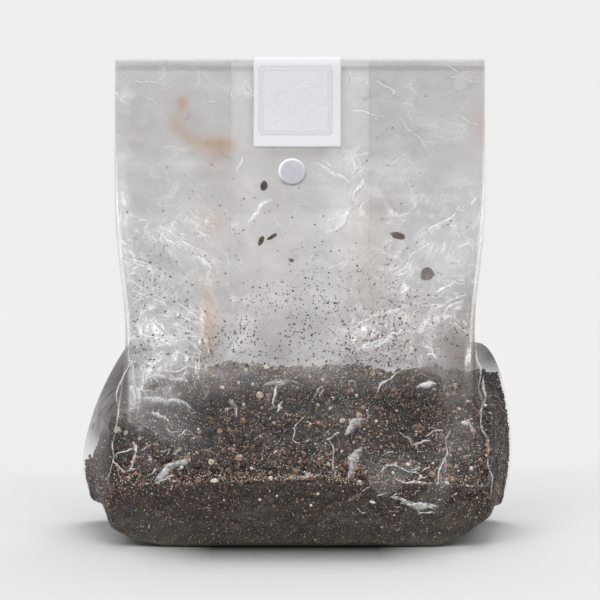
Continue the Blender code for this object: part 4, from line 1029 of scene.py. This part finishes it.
def pinched_creases(name, creases, surface_of, facing, seed):
    """Each crease is a thin closed spindle lying on the film: its path is straight with a parabola's bend and a
    little wobble, its width a lens with seeded unevenness, its section a low arch over a flat back. Fade, a
    painted highlight, is strong along one side of the crest and falls off to the other side and to both ends."""
    generator = np.random.default_rng(seed)
    x0, z0, x1, z1, width, strength, bend = creases.T[:, :, None, None]
    x0, z0, x1, z1, width = (value * MM for value in (x0, z0, x1, z1, width))
    count, rows, around = len(creases), 17, 6
    t = np.linspace(-0.999, 0.999, rows)[None, :, None]
    s = np.array([-1.0, -0.45, 0.15, 0.62, 1.0, 0.2])
    arch = np.array([0.0, 0.7, 1.0, 0.8, 0.0, -0.25])
    length = np.hypot(x1 - x0, z1 - z0)
    ux, uz = (x1 - x0) / length, (z1 - z0) / length
    wave = generator.uniform(0.0, 2.0 * math.pi, (count, 1, 1))
    side = length * (bend * (1.0 - t * t) + 0.03 * np.sin(5.0 * t + wave) + 0.006 * np.sin(11.0 * t + 2.0 * wave))
    broad = smooth_step(width, 0.0009, 0.0018)
    uneven_width = (1.0 + 0.25 * np.sin(4.0 * t + 3.0 * wave) + 0.10 * np.sin(11.0 * t + wave)) * (1.0 + 0.9 * broad)
    half = 0.5 * width * (1.0 - t * t) ** 0.7 * uneven_width + 0.00003
    x = 0.5 * (x0 + x1) + 0.5 * length * t * ux - (side + s * half) * uz
    z = 0.5 * (z0 + z1) + 0.5 * length * t * uz + (side + s * half) * ux
    surface = surface_of(x, z)
    surface[..., 1] += facing * (0.00012 + (0.30 - 0.20 * broad) * half * arch)
    start = (np.arange(count) * rows * around)[:, None]
    far = start + (rows - 1) * around
    faces = np.concatenate([
        (start[:, :, None, None] + loop_faces(rows, around)).reshape(-1, 4), start + (5, 2, 1, 0),
        start + (5, 4, 3, 2), far + (0, 1, 2, 5), far + (2, 3, 4, 5)])
    # Painted highlight: crisp along one side of the crest, soft towards the other.
    crest = np.interp(s, (-1.0, -0.45, 0.15, 0.62, 1.0), (0.05, 0.34, 0.52, 1.0, 1.0))
    soft = np.interp(s, (-1.0, -0.45, 0.15, 0.62, 1.0), (0.0, 0.32, 0.46, 0.62, 1.0))
    fade = strength * (crest + broad * (soft - crest)) * np.clip(1.6 * (1.0 - np.abs(t) ** 2.5), 0.0, 1.0)
    piece = make_piece(name, surface, faces if facing < 0 else faces[:, ::-1], PINCH_HIGHLIGHT, fade=np.clip(fade, 0.0, 1.0))


def creases_behind():
    """Scattered pinches on the back, partly painted highlight, none where the flap's end or the top would cut them."""
    creases = small_pinches(REAR_PINCHES, 0.75, 23)
    flap_end, top = 177.0, 250.0
    clear = (np.abs(creases[:, 1] - flap_end) > 9.0) & (creases[:, 3] < top) & (creases[:, 1] < top)
    return creases[clear] * (1.0, 1.0, 1.0, 1.0, 1.5, 1.0, 1.0)


def bottom_seal():
    """The welded fin folded flat under the base: a thin slab whose faces carry cross ribs, a cosine of x."""
    across = np.linspace(-HALF_PANEL - 0.0006, HALF_PANEL + 0.0006, 240)[:, None]
    y, z = np.array([(-0.0018, 0.0002), (-0.0018, 0.0008), (-0.0012, 0.0010), (0.0096, 0.0010), (0.0100, 0.0008),
                     (0.0100, 0.0002), (0.0096, 0.00005), (-0.0012, 0.00005)]).T
    rib = 0.00004 * np.cos(across / 0.0016 * 2.0 * math.pi)
    points = shaped(np.stack([across + 0.0 * y, y + 0.0 * across, z + rib * (z > 0.0005)], axis=2))
    points[..., 2] = np.maximum(points[..., 2], 0.00002)
    caps = np.array([[0, 1, 2, 7], [7, 2, 3, 6], [6, 3, 4, 5]])
    quads = loop_faces(*points.shape[:2]).reshape(-1, 4)[:, ::-1]
    faces = np.concatenate([quads, caps, caps[:, ::-1] + points.size // 3 - len(y)])
    one = np.ones(points.shape[:2])
    piece = make_piece("bottom_seal", points, faces, FILM_BEHIND, False, haze=0.45 * one, stain=0.0 * one,
                       dim=0.3 * one, crinkled=0.2 * one)


# Substrate

LOW_ROWS = 8


def inner_wall(inset):
    """The film's wall rows drawn in by an inset, on every second column, with rows added below them that turn
    in under the bag along a quarter of a flattened ellipse. Also the outward direction at each point."""
    rows = film_base[WALL_START:TURN_START - 60, ::2].copy()
    rear = column_rear[::2]
    swell = np.where(ply_share[::2] <= 0.0, panel_swell(rows[..., 0], rows[..., 2]), 0.0)
    rows[..., 1] += np.where(rear, 1.0, -1.0) * swell
    ahead = np.roll(rows, -1, axis=1) - np.roll(rows, 1, axis=1)
    out = np.stack([ahead[..., 1], -ahead[..., 0]], axis=2)
    out /= np.maximum(np.linalg.norm(out, axis=2, keepdims=True), 1e-9)
    rows[..., :2] -= out * inset
    floor = 0.0006 + 0.0020 * smooth_step(np.abs(rows[0, :, 0]), 0.084, 0.096)
    angle = np.linspace(0.0, 0.5 * math.pi, LOW_ROWS + 1)[:-1, None]
    low = np.repeat(rows[:1], LOW_ROWS, 0)
    low[..., :2] -= out[:1] * (0.0034 * (1.0 - np.sin(angle)))[..., None]
    low[..., 2] = floor + (rows[0, :, 2] - floor) * (1.0 - np.cos(angle))
    return shaped(np.concatenate([low, rows])), np.concatenate([np.repeat(out[:1], LOW_ROWS, 0), out])


def rows_at(wall, level):
    """Points at a fractional row of each column."""
    low = np.clip(np.floor(level).astype(int), 0, len(wall) - 2)
    share, column = (level - low)[:, None], np.arange(wall.shape[1])
    return wall[low, column] * (1.0 - share) + wall[low + 1, column] * share


def slope_height(x, y):
    """The heap's top with its lumps: the ramp, plus soft noise in two sizes."""
    spot = np.stack([x, y, 0.0 * x], axis=-1)
    return soil_top(x, y) + layered_noise(spot, (0.0017, 0.011, 21), (0.0009, 0.0048, 22))


def uneven(points, amount, size, seed):
    """Points moved along a random direction field of soft noise, in two sizes."""
    moves = [layered_noise(points, (1.0, size, seed + k), (0.5, 0.45 * size, seed + 5 + k)) for k in range(3)]
    return points + amount * np.stack(moves, axis=-1)


wall_rows, wall_out = inner_wall(WALL_INSET)
# For each column, the first row that stands above the heap's top
rim_level = np.maximum(np.argmax(wall_rows[..., 2] > soil_top(wall_rows[..., 0], wall_rows[..., 1]), axis=0), 2)
rim = rows_at(wall_rows, rim_level)


def right_corner_painted_shade(x):
    """How deep a point lies in the heap's right corner: a smooth ramp of its offset, by which tones there are
    darkened as painted shade.
    """
    return smooth_step(x, 0.084, 0.104)


def soil_heap():
    """The heap's body: underside, sides inside the film, and the sloping top, as closed rings."""
    rings = []
    for share in (0.05, 0.25, 0.45, 0.65, 0.85):
        ring = wall_rows[0] * (share, share, 1.0)
        ring[:, 2] = np.minimum(ring[:, 2] + 0.0050 * smooth_step(0.95 - share, 0.0, 0.25), 0.0060)
        rings.append(ring)
    rings.extend(wall_rows[:LOW_ROWS])
    rings.extend(rows_at(wall_rows, LOW_ROWS + (rim_level - LOW_ROWS) * step / 25) for step in range(26))
    for share in np.linspace(0.985, 0.02, 62):
        ring = rim * (share, share, 1.0)
        inside = smooth_step(1.0 - share, 0.0, 0.05)
        ring[:, 2] = inside * slope_height(ring[:, 0], ring[:, 1]) + (1.0 - inside) * rim[:, 2]
        rings.append(ring)
    stack = np.array(rings)
    # The lowest rings rest on the film and stay even
    stack[8:] = uneven(stack[8:], 0.0006, 0.0032, 31)
    points, faces = closed_rings(stack, stack[0].mean(0), stack[-1].mean(0))
    # Painted shade: the heap is darker in its right corner.
    tone = 0.14 - 0.08 * right_corner_painted_shade(points[:, 0])
    tone = tone + layered_noise(points, (0.12, 0.004, 41), (0.12, 0.0017, 42))
    piece = make_piece("substrate_heap", points, faces, SOIL, tone=np.clip(tone, 0.0, 1.0))
    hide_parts("substrate")


def ball(rings, around):
    """A unit ball of a few faces: rings of points between two poles, every second one turned half a step,
    closed by fans."""
    lean = math.pi * np.arange(1, rings + 1)[:, None] / (rings + 1)
    turn = 2.0 * math.pi * (np.arange(around) + 0.5 * (np.arange(rings) % 2)[:, None]) / around
    ring = np.stack([np.sin(lean) * np.cos(turn), np.sin(lean) * np.sin(turn), -np.cos(lean) + 0.0 * turn], axis=2)
    points = np.concatenate([[[0.0, 0.0, -1.0]], ring.reshape(-1, 3), [[0.0, 0.0, 1.0]]])
    column = np.arange(around)
    ahead = (column + 1) % around
    faces = [(0 * column, 1 + ahead, 1 + column)]
    for k in range(rings - 1):
        low, high = 1 + k * around, 1 + (k + 1) * around
        tip, foot = (ahead, column) if k % 2 else (column, ahead)
        faces += [(low + column, low + ahead, high + tip), (low + foot, high + ahead, high + column)]
    top = 1 + (rings - 1) * around
    faces.append((top + column, top + ahead, 0 * column + len(points) - 1))
    return points, np.concatenate([np.column_stack(face) for face in faces])


def turned(generator, count):
    """Random turns as matrices, from random unit quaternions."""
    q = generator.normal(size=(count, 4))
    w, x, y, z = (q / np.linalg.norm(q, axis=1, keepdims=True)).T
    return np.stack([
        1 - 2 * (y * y + z * z), 2 * (x * y - w * z), 2 * (x * z + w * y),
        2 * (x * y + w * z), 1 - 2 * (x * x + z * z), 2 * (y * z - w * x),
        2 * (x * z - w * y), 2 * (y * z + w * x), 1 - 2 * (x * x + y * y)], axis=1).reshape(-1, 3, 3)


def crumbs(name, centres, sizes, tones, seed, rings, around, rough=0.28, material=SOIL):
    """Many small angular crumbs in one mesh: a few faced ball, its points pushed in at random, stretched on
    three axes, turned at random and set at each centre."""
    generator = np.random.default_rng(seed)
    points, faces = ball(rings, around)
    count = len(centres)
    reach = 1.0 - rough * generator.random((count, len(points), 1))
    stretch = generator.uniform(0.62, 1.0, (count, 1, 3))
    shapes = points[None] * reach * stretch * (0.5 * sizes)[:, None, None]
    shapes = np.einsum("nij,npj->npi", turned(generator, count), shapes) + centres[:, None, :]
    all_faces = faces[None] + (np.arange(count) * len(points))[:, None, None]
    shade = tones[:, None] + generator.uniform(-0.05, 0.05, (count, len(points)))
    return make_piece(name, shapes, all_faces.reshape(-1, 3), material, False, tone=np.clip(shade, 0.0, 1.0))


def crumb_tones(generator, count, dark=0.30):
    """Tones: dark to middling browns, a fifth of them tan and a few pale grains."""
    tone = dark - 0.03 + 0.16 * generator.normal(size=count)
    kind = generator.random(count)
    tone = np.where(kind > 0.78, 0.50 + 0.20 * generator.random(count), tone)
    tone = np.where(kind > 0.955, 0.78 + 0.14 * generator.random(count), tone)
    return np.clip(np.where(kind > 0.990, 1.0, tone), 0.02, 1.0)


def places_on_slope(generator, tries, margin):
    """Random offsets that lie inside the heap's rim drawn in by a margin, from its reach at each angle."""
    x = generator.uniform(-0.125, 0.125, tries)
    y = generator.uniform(-0.058, 0.060, tries)
    angle = np.arctan2(rim[:, 1], rim[:, 0])
    order = np.argsort(angle)
    reach = np.hypot(rim[:, 0], rim[:, 1])[order]
    keep = np.hypot(x, y) < np.interp(np.arctan2(y, x), angle[order], reach, period=2.0 * math.pi) - margin
    return x[keep], y[keep]


def slope_crumbs():
    """Crumbs over the sloping top, in three sizes, thinly sunk into it."""
    generator = np.random.default_rng(51)
    for name, count, low, high, rings, around, seed in (
            ("slope_crumbs_fine", 6500, 0.0009, 0.0020, 2, 5, 61), ("slope_crumbs", 3600, 0.0019, 0.0036, 2, 6, 62),
            ("slope_clods", 420, 0.0034, 0.0062, 4, 8, 63)):
        x, y = (values[:count] for values in places_on_slope(generator, 3 * count, 0.5 * high))
        size = low + (high - low) * generator.random(len(x)) ** 1.6
        z = slope_height(x, y) + size * generator.uniform(0.05, 0.42, len(x))
        piece = crumbs(name, np.stack([x, y, z], 1), size, crumb_tones(generator, len(x)), seed, rings, around)


def painted_glint_grains():
    """Tiny near white grains on the slope: their pale tones are a painted highlight standing in for damp glints."""
    generator = np.random.default_rng(55)
    x, y = places_on_slope(generator, 15000, 0.001)
    size = 0.0005 + 0.0007 * generator.random(len(x)) ** 2
    z = slope_height(x, y) + generator.uniform(0.0006, 0.0022, len(x))
    piece = crumbs("painted_glint_grains", np.stack([x, y, z], 1), size, generator.uniform(0.80, 1.0, len(x)), 64, 1, 4)


def wall_crumbs():
    """Crumbs pressed against the film all round, under the heap's rim: finer and darker low in front."""
    generator = np.random.default_rng(71)
    columns = wall_rows.shape[1]
    step = np.linalg.norm(np.roll(rim, -1, axis=0)[:, :2] - rim[:, :2], axis=1)
    front_part = (~column_rear & (ply_share <= 0.0))[::2]
    for name, count, low, high, shown, dark, around, seed in (
            ("wall_crumbs", 6200, 0.0012, 0.0030, step > 0.0, 0.24, 6, 81),
            ("pressed_fines", 8500, 0.0006, 0.0013, front_part, 0.30, 5, 82),
            ("pressed_crumbs_behind", 4800, 0.0012, 0.0030, ~front_part, 0.27, 6, 83)):
        weight = step * rim[:, 2] * shown
        column = generator.choice(columns, count, p=weight / weight.sum())
        beside = (column + 1) % columns
        level = 3.0 + (np.minimum(rim_level[column], rim_level[beside]) - 3.0) * generator.random(count)
        row = np.clip(level.astype(int), 0, len(wall_rows) - 2)
        share, part = (level - row)[:, None], generator.random(count)[:, None]
        under, over = (wall_rows[at, column] * (1 - part) + wall_rows[at, beside] * part for at in (row, row + 1))
        centre = under * (1 - share) + over * share
        size = low + (high - low) * generator.random(count) ** 1.8
        reach = (WALL_INSET - 0.0004 - 0.5 * size) * generator.uniform(0.55, 1.0, count)
        centre[:, :2] += wall_out[row, column] * reach[:, None]
        # Painted shade: these crumbs are darker in the heap's right corner.
        tone = crumb_tones(generator, count, dark) - 0.13 * right_corner_painted_shade(centre[:, 0])
        piece = crumbs(name, centre, size, tone, seed, 1, around)


# Filter patch

def fold_face_line(count):
    """The front panel's middle line up to and over the fold, as points evenly spaced by length, with outward
    directions: the wall's own curve, then an arc of the fold's outer radius."""
    z = np.linspace(PORT_HEIGHT, FOLD_CENTRE_Z, 200)
    angle = np.linspace(0.0, 0.62 * math.pi, 60)[1:]
    radius = FOLD_RADIUS + FLAT_HALF_DEPTH
    arc = np.column_stack([FOLD_RADIUS - radius * np.cos(angle), FOLD_CENTRE_Z + radius * np.sin(angle)])
    line = np.concatenate([np.column_stack([-half_depth(z), z]), arc])
    length = np.append(0.0, np.cumsum(np.linalg.norm(np.diff(line, axis=0), axis=1)))
    top = length[len(z) + np.argmax(arc[:, 1])] - 0.0006
    at = np.linspace(top - PATCH_SIZE[1], top, count)
    points = np.column_stack([np.interp(at, length, line[:, k]) for k in (0, 1)])
    slope = np.gradient(points, axis=0)
    slope /= np.linalg.norm(slope, axis=1, keepdims=True)
    return points, np.column_stack([-slope[:, 1], slope[:, 0]])


def rounded_box(x, y, half_x, half_y, radius):
    """Signed distance to a rounded rectangle's outline, less than nothing inside it."""
    dx, dy = np.abs(x) - half_x + radius, np.abs(y) - half_y + radius
    return np.hypot(np.maximum(dx, 0.0), np.maximum(dy, 0.0)) + np.minimum(np.maximum(dx, dy), 0.0) - radius


def filter_patch():
    """A sheet of nonwoven over the window: an outer and an inner skin that follow the panel, the outer pressed
    down along a welded rounded outline, a bell of the distance to it, and faintly puckered beside it."""
    columns, rows = 81, 87
    half_width, half_height = 0.5 * PATCH_SIZE[0], 0.5 * PATCH_SIZE[1]
    u, v = np.meshgrid(np.linspace(-half_width, half_width, columns), np.linspace(-half_height, half_height, rows))
    distance = rounded_box(u + 0.0009, v + 0.0003, 0.0203, 0.0191, 0.002)
    weld = np.exp(-((distance + 0.0005) / 0.0005) ** 2)
    weld = np.maximum(weld, 0.5 * np.exp(-((distance + 0.0022) / 0.0004) ** 2))
    pucker = layered_noise(np.stack([u, v, 0.0 * u], axis=-1), (0.00008, 0.004, 91), (0.00010, 0.012, 92))
    body = 0.0005 - 0.00030 * weld + pucker * (1.0 - weld)
    edge = np.minimum(half_width - np.abs(u), half_height - np.abs(v))
    body = body * (0.45 + 0.55 * smooth_step(edge, 0.0, 0.0008))
    line, outward = (values[:, None] for values in fold_face_line(rows))
    skins = []
    for height in (0.0006 + 0.0 * body, 0.0006 + body):
        y, z = np.moveaxis(line + outward * height[..., None], 2, 0)
        skins.append(shaped(np.stack([PATCH_OFFSET + u, y, z], axis=2)))
    index = np.arange(rows * columns).reshape(rows, columns)
    quads = np.stack([index[:-1, :-1], index[:-1, 1:], index[1:, 1:], index[1:, :-1]], axis=2).reshape(-1, 4)
    ring = np.concatenate([index[0, :-1], index[:-1, -1], index[-1, :0:-1], index[:0:-1, 0]])
    after = np.roll(ring, -1)
    side = np.column_stack([ring, after, after + index.size, ring + index.size])
    none, inside = 0.0 * distance, smooth_step(-distance, 0.0004, 0.0016)
    piece = make_piece("patch_sheet", np.array(skins), np.concatenate([quads[:, ::-1], quads + index.size, side]),
                       PATCH, inside=np.array([none, inside]), weld=np.array([none, 0.85 * weld]))
    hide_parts("filter_patch")


# Injection port

def panel_frame(x, z, reach):
    """A point of the plain front panel with its outward, upward and sideways directions, from its neighbours at
    a reach."""
    def plain(px, pz):
        """The panel's place without its crinkles."""
        return swayed(px, -half_depth(pz) - panel_swell(px, pz), pz)
    up = plain(x, z + reach) - plain(x, z - reach)
    across = plain(x + reach, z) - plain(x - reach, z)
    up /= np.linalg.norm(up)
    across /= np.linalg.norm(across)
    outward = np.cross(across, up)
    return plain(x, z), outward / np.linalg.norm(outward), up, across


def injection_port():
    """The disc, a solid of revolution: a short wall, a rounded white shoulder, a fine groove and a nearly flat
    face. Rim and shade are bands near its edge: a painted highlight on the upper left and painted shade on the
    lower right."""
    radius, shoulder, thick, around = 0.0077, 0.0013, 0.0016, 96
    profile = [(0.985 * radius, 0.0), (radius, 0.0001), (radius, 0.0007)]
    profile += [(radius - shoulder + shoulder * math.cos(lean), 0.0007 + 0.0009 * math.sin(lean))
                for lean in np.linspace(0.0, 0.5 * math.pi, 9)[1:]]
    profile += [(radius - 0.00145, 0.00146), (radius - 0.00162, 0.00143), (radius - 0.0019, 0.00150),
                (radius - 0.0030, 0.00154), (0.002, thick)]
    out, height = np.array(profile).T[:, :, None]
    angle = 2.0 * math.pi * np.arange(around) / around
    rings = np.stack([out * np.cos(angle), out * np.sin(angle), height + 0.0 * angle], axis=2)
    points, faces = closed_rings(rings, (0.0, 0.0, 0.0), (0.0, 0.0, thick))
    origin, outward, up, across = panel_frame(PORT_OFFSET, PORT_HEIGHT, radius)
    placed = origin + outward * 0.0006 + points @ np.array([across, up, outward])
    # The rim's painted highlight faces the upper left, its painted shade the lower right.
    facing = np.cos(angle - 118.0 * DEGREE)
    painted_rim_highlight = smooth_step(out, radius - 0.0018, radius - 0.0011) * np.clip(0.35 + 0.75 * facing, 0.0, 1.0)
    dark = smooth_step(out, radius - 0.0004, radius) * np.clip(-0.1 - 0.8 * facing, 0.0, 0.8)
    piece = make_piece("port_disc", placed, faces, PORT, rim=np.pad(painted_rim_highlight.ravel(), 1), shade=np.pad(dark.ravel(), 1))
    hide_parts("injection_port")


# Bits and specks that cling inside the film. Each bit's offset, drop below the port's height, length, width,
# thickness, turn in degrees and tone
LOOSE_BITS = {
    "loose_bit_oval": (-0.0197, 0.0070, 0.0057, 0.0039, 0.0014, 80.0, 0.04),
    "loose_bit_bark": (-0.0210, 0.0375, 0.0057, 0.0028, 0.0014, 70.0, 0.26),
    "loose_bit_splinter": (-0.0150, 0.0353, 0.0062, 0.0021, 0.0012, 35.0, 0.24),
    "loose_bit_grey": (-0.0045, 0.0480, 0.0025, 0.0022, 0.0014, 0.0, 0.30),
    "loose_bit_husk": (0.0530, 0.0345, 0.0080, 0.0042, 0.0016, -12.0, 0.42),
    "loose_bit_crumb": (0.0680, 0.0548, 0.0080, 0.0070, 0.0020, 40.0, 0.52),
}


def loose_bit(name, number, x, drop, length, width, thick, turn, tone):
    """One bit: a flattened ball with soft noise pushing its surface in and out, turned on the panel."""
    points, faces = ball(15, 26)
    rough = 1.0 + 0.16 * soft_noise(points + 3.0 * number, 0.55, number) + 0.06 * soft_noise(points, 0.22, number + 9)
    points = points * rough[:, None] * np.array([length, width, thick]) * 0.5
    cosine, sine = math.cos(turn * DEGREE), math.sin(turn * DEGREE)
    points[:, :2] = points[:, :2] @ np.array([[cosine, sine], [-sine, cosine]])
    origin, outward, up, across = panel_frame(x, PORT_HEIGHT - drop, 0.5 * length)
    relief = front_relief(np.array([x]), np.array([PORT_HEIGHT - drop]))[0]
    points[:, 2] += min(relief, 0.0) - 0.0005 - 0.5 * thick
    placed = origin + points @ np.array([across, up, outward])
    piece = make_piece(name + "_dressed", placed, faces, BARK, tone=np.full(len(points), tone))
    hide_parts(name)


def film_specks():
    """Fine grains that cling inside the front film: few near the port, more and larger towards the heap."""
    generator = np.random.default_rng(101)
    count, strays = 11000, 110
    x = generator.uniform(-0.095, 0.095, count)
    z = 0.200 - 0.108 * generator.random(count) ** 0.55
    chance = 0.10 + 0.75 * smooth_step(0.185 - z, 0.0, 0.090)
    patchy = 0.55 + 0.9 * soft_noise(np.stack([x, 0 * x, z], 1), 0.016, 102)
    wide = np.exp(-((np.abs(x) / 0.085) ** 4)) * (np.abs(x) < corner_offset(z, 1, False) - 0.004)
    keep = generator.random(count) < chance * np.clip(patchy, 0.05, 1.0) * wide
    stray_x, stray_z = generator.uniform(-0.094, 0.094, strays), generator.uniform(0.125, 0.254, strays)
    off_patch = (np.abs(stray_x) > 0.027) | (stray_z < 0.186)
    x, z = np.append(x[keep], stray_x[off_patch]), np.append(z[keep], stray_z[off_patch])
    size = 0.00050 + 0.00110 * generator.random(len(x)) ** 3.0
    surface = front_surface(x, z)
    surface[:, 1] -= 0.15 * size
    tone = np.where(generator.random(len(x)) > 0.7, 0.28, 0.02) + 0.06 * generator.normal(size=len(x))
    piece = crumbs("film_specks", surface, size, tone, 103, 1, 6, 0.3, BARK)


film_bag()
# Strips of pinched creases, white partly as whitened folds and partly as painted highlight.
pinched_creases("pinched_creases", np.concatenate([PINCHES, small_pinches(FRONT_ZONES[:PINCHED_ZONES], 0.60, 17)]),
                front_surface, -1.0, 19)
pinched_creases("pinched_creases_behind", creases_behind(), rear_surface, 1.0, 29)
bottom_seal()
soil_heap()
slope_crumbs()
wall_crumbs()
painted_glint_grains()
filter_patch()
injection_port()
for number, (name, facts) in enumerate(LOOSE_BITS.items()):
    loose_bit(name, number, *facts)
film_specks()


# Stage

def plain_floor():
    """A wide pale floor that takes the bag's shadow. Where the bag is near, between its corners, a painted shadow
    from ambient occlusion darkens it further.
    """
    mesh = bpy.data.meshes.new("floor")
    size = 30.0
    mesh.from_pydata([(-size, -size, 0), (size, -size, 0), (size, size, 0), (-size, size, 0)], [], [(0, 1, 2, 3)])
    floor = bpy.data.objects.new("floor", mesh)
    bpy.context.scene.collection.objects.link(floor)
    material, tree = new_material("floor_paper")
    # Painted shadow: the floor's colour darkens with occlusion near the bag, kept under its middle.
    shade = tree.span(tree.node("AmbientOcclusion", {"Distance": 0.09}, samples=8)["AO"], 0.52, 0.99, 1.0, 0.0)
    x, y, _ = tree.axes(tree.place())
    for near in (tree.span(y, -0.140, -0.088), tree.span(y, 0.060, 0.080, 1.0, 0.0),
                 tree.span(tree.maths("ABSOLUTE", x), 0.042, 0.084, 1.0, 0.0)):
        shade = tree.times(shade, near)
    grey = tree.blend(shade, (0.652, 0.652, 0.652, 1.0), (0.05, 0.05, 0.05, 1.0))
    tree.finish({"Base Color": grey, "Roughness": 0.9, "Specular IOR Level": 0.0})
    mesh.materials.append(material)


def soft_sky():
    """Even light from all round. Seen straight or in a gloss it is the pale background."""
    world = bpy.data.worlds.new("studio")
    bpy.context.scene.world = world
    world.use_nodes = True
    nodes = world.node_tree.nodes
    nodes.clear()
    tree = Tree(world.node_tree, nodes.new("ShaderNodeOutputWorld").inputs)
    path = tree.node("LightPath")
    seen = tree.maths("MAXIMUM", path["Is Camera Ray"], path["Is Transmission Ray"])
    seen = tree.maths("MAXIMUM", seen, path["Is Glossy Ray"])
    light = {"Color": (1.0, 1.0, 1.0, 1.0), "Strength": tree.span(seen, 0.0, 1.0, 0.50, 0.855)}
    tree.fill(tree.end, {"Surface": tree.node("Background", light)[0]})


def sun(name, azimuth, elevation, strength, angle):
    """A broad far lamp. Azimuth 0 shines from the front, positive from the right."""
    light = bpy.data.lights.new(name, "SUN")
    light.energy, light.angle = strength, math.radians(angle)
    lamp = bpy.data.objects.new(name, light)
    bpy.context.scene.collection.objects.link(lamp)
    lamp.rotation_euler = (math.radians(90.0 - elevation), 0.0, math.radians(azimuth))


def photo_camera():
    """The photo's view: level, from 0.850 m in front, 1545 pixels of focal length on a picture of 600."""
    pixels, sensor = 600.0, 36.0
    data = bpy.data.cameras.new("camera")
    camera = bpy.data.objects.new("camera", data)
    bpy.context.scene.collection.objects.link(camera)
    data.sensor_width, data.lens = sensor, 1545.0 / pixels * sensor
    data.shift_y, data.clip_end = 5.0 / pixels, 100.0
    camera.location = (SHIFT[0], -0.850 + SHIFT[1], 0.125)
    camera.rotation_euler = (math.radians(90.0), 0.0, 0.0)
    bpy.context.scene.camera = camera


plain_floor()
soft_sky()
for lamp in (("top_back", 172.0, 60.0, 1.5, 40.0), ("key_left", -36.0, 40.0, 0.85, 40.0),
             ("fill_right", 40.0, 36.0, 0.65, 45.0), ("spark_left", -30.0, 34.0, 0.20, 9.0),
             ("spark_right", 26.0, 40.0, 0.20, 9.0), ("spark_top", 0.0, 62.0, 0.15, 10.0)):
    sun(*lamp)
photo_camera()
bpy.context.scene.view_settings.view_transform = "Standard"
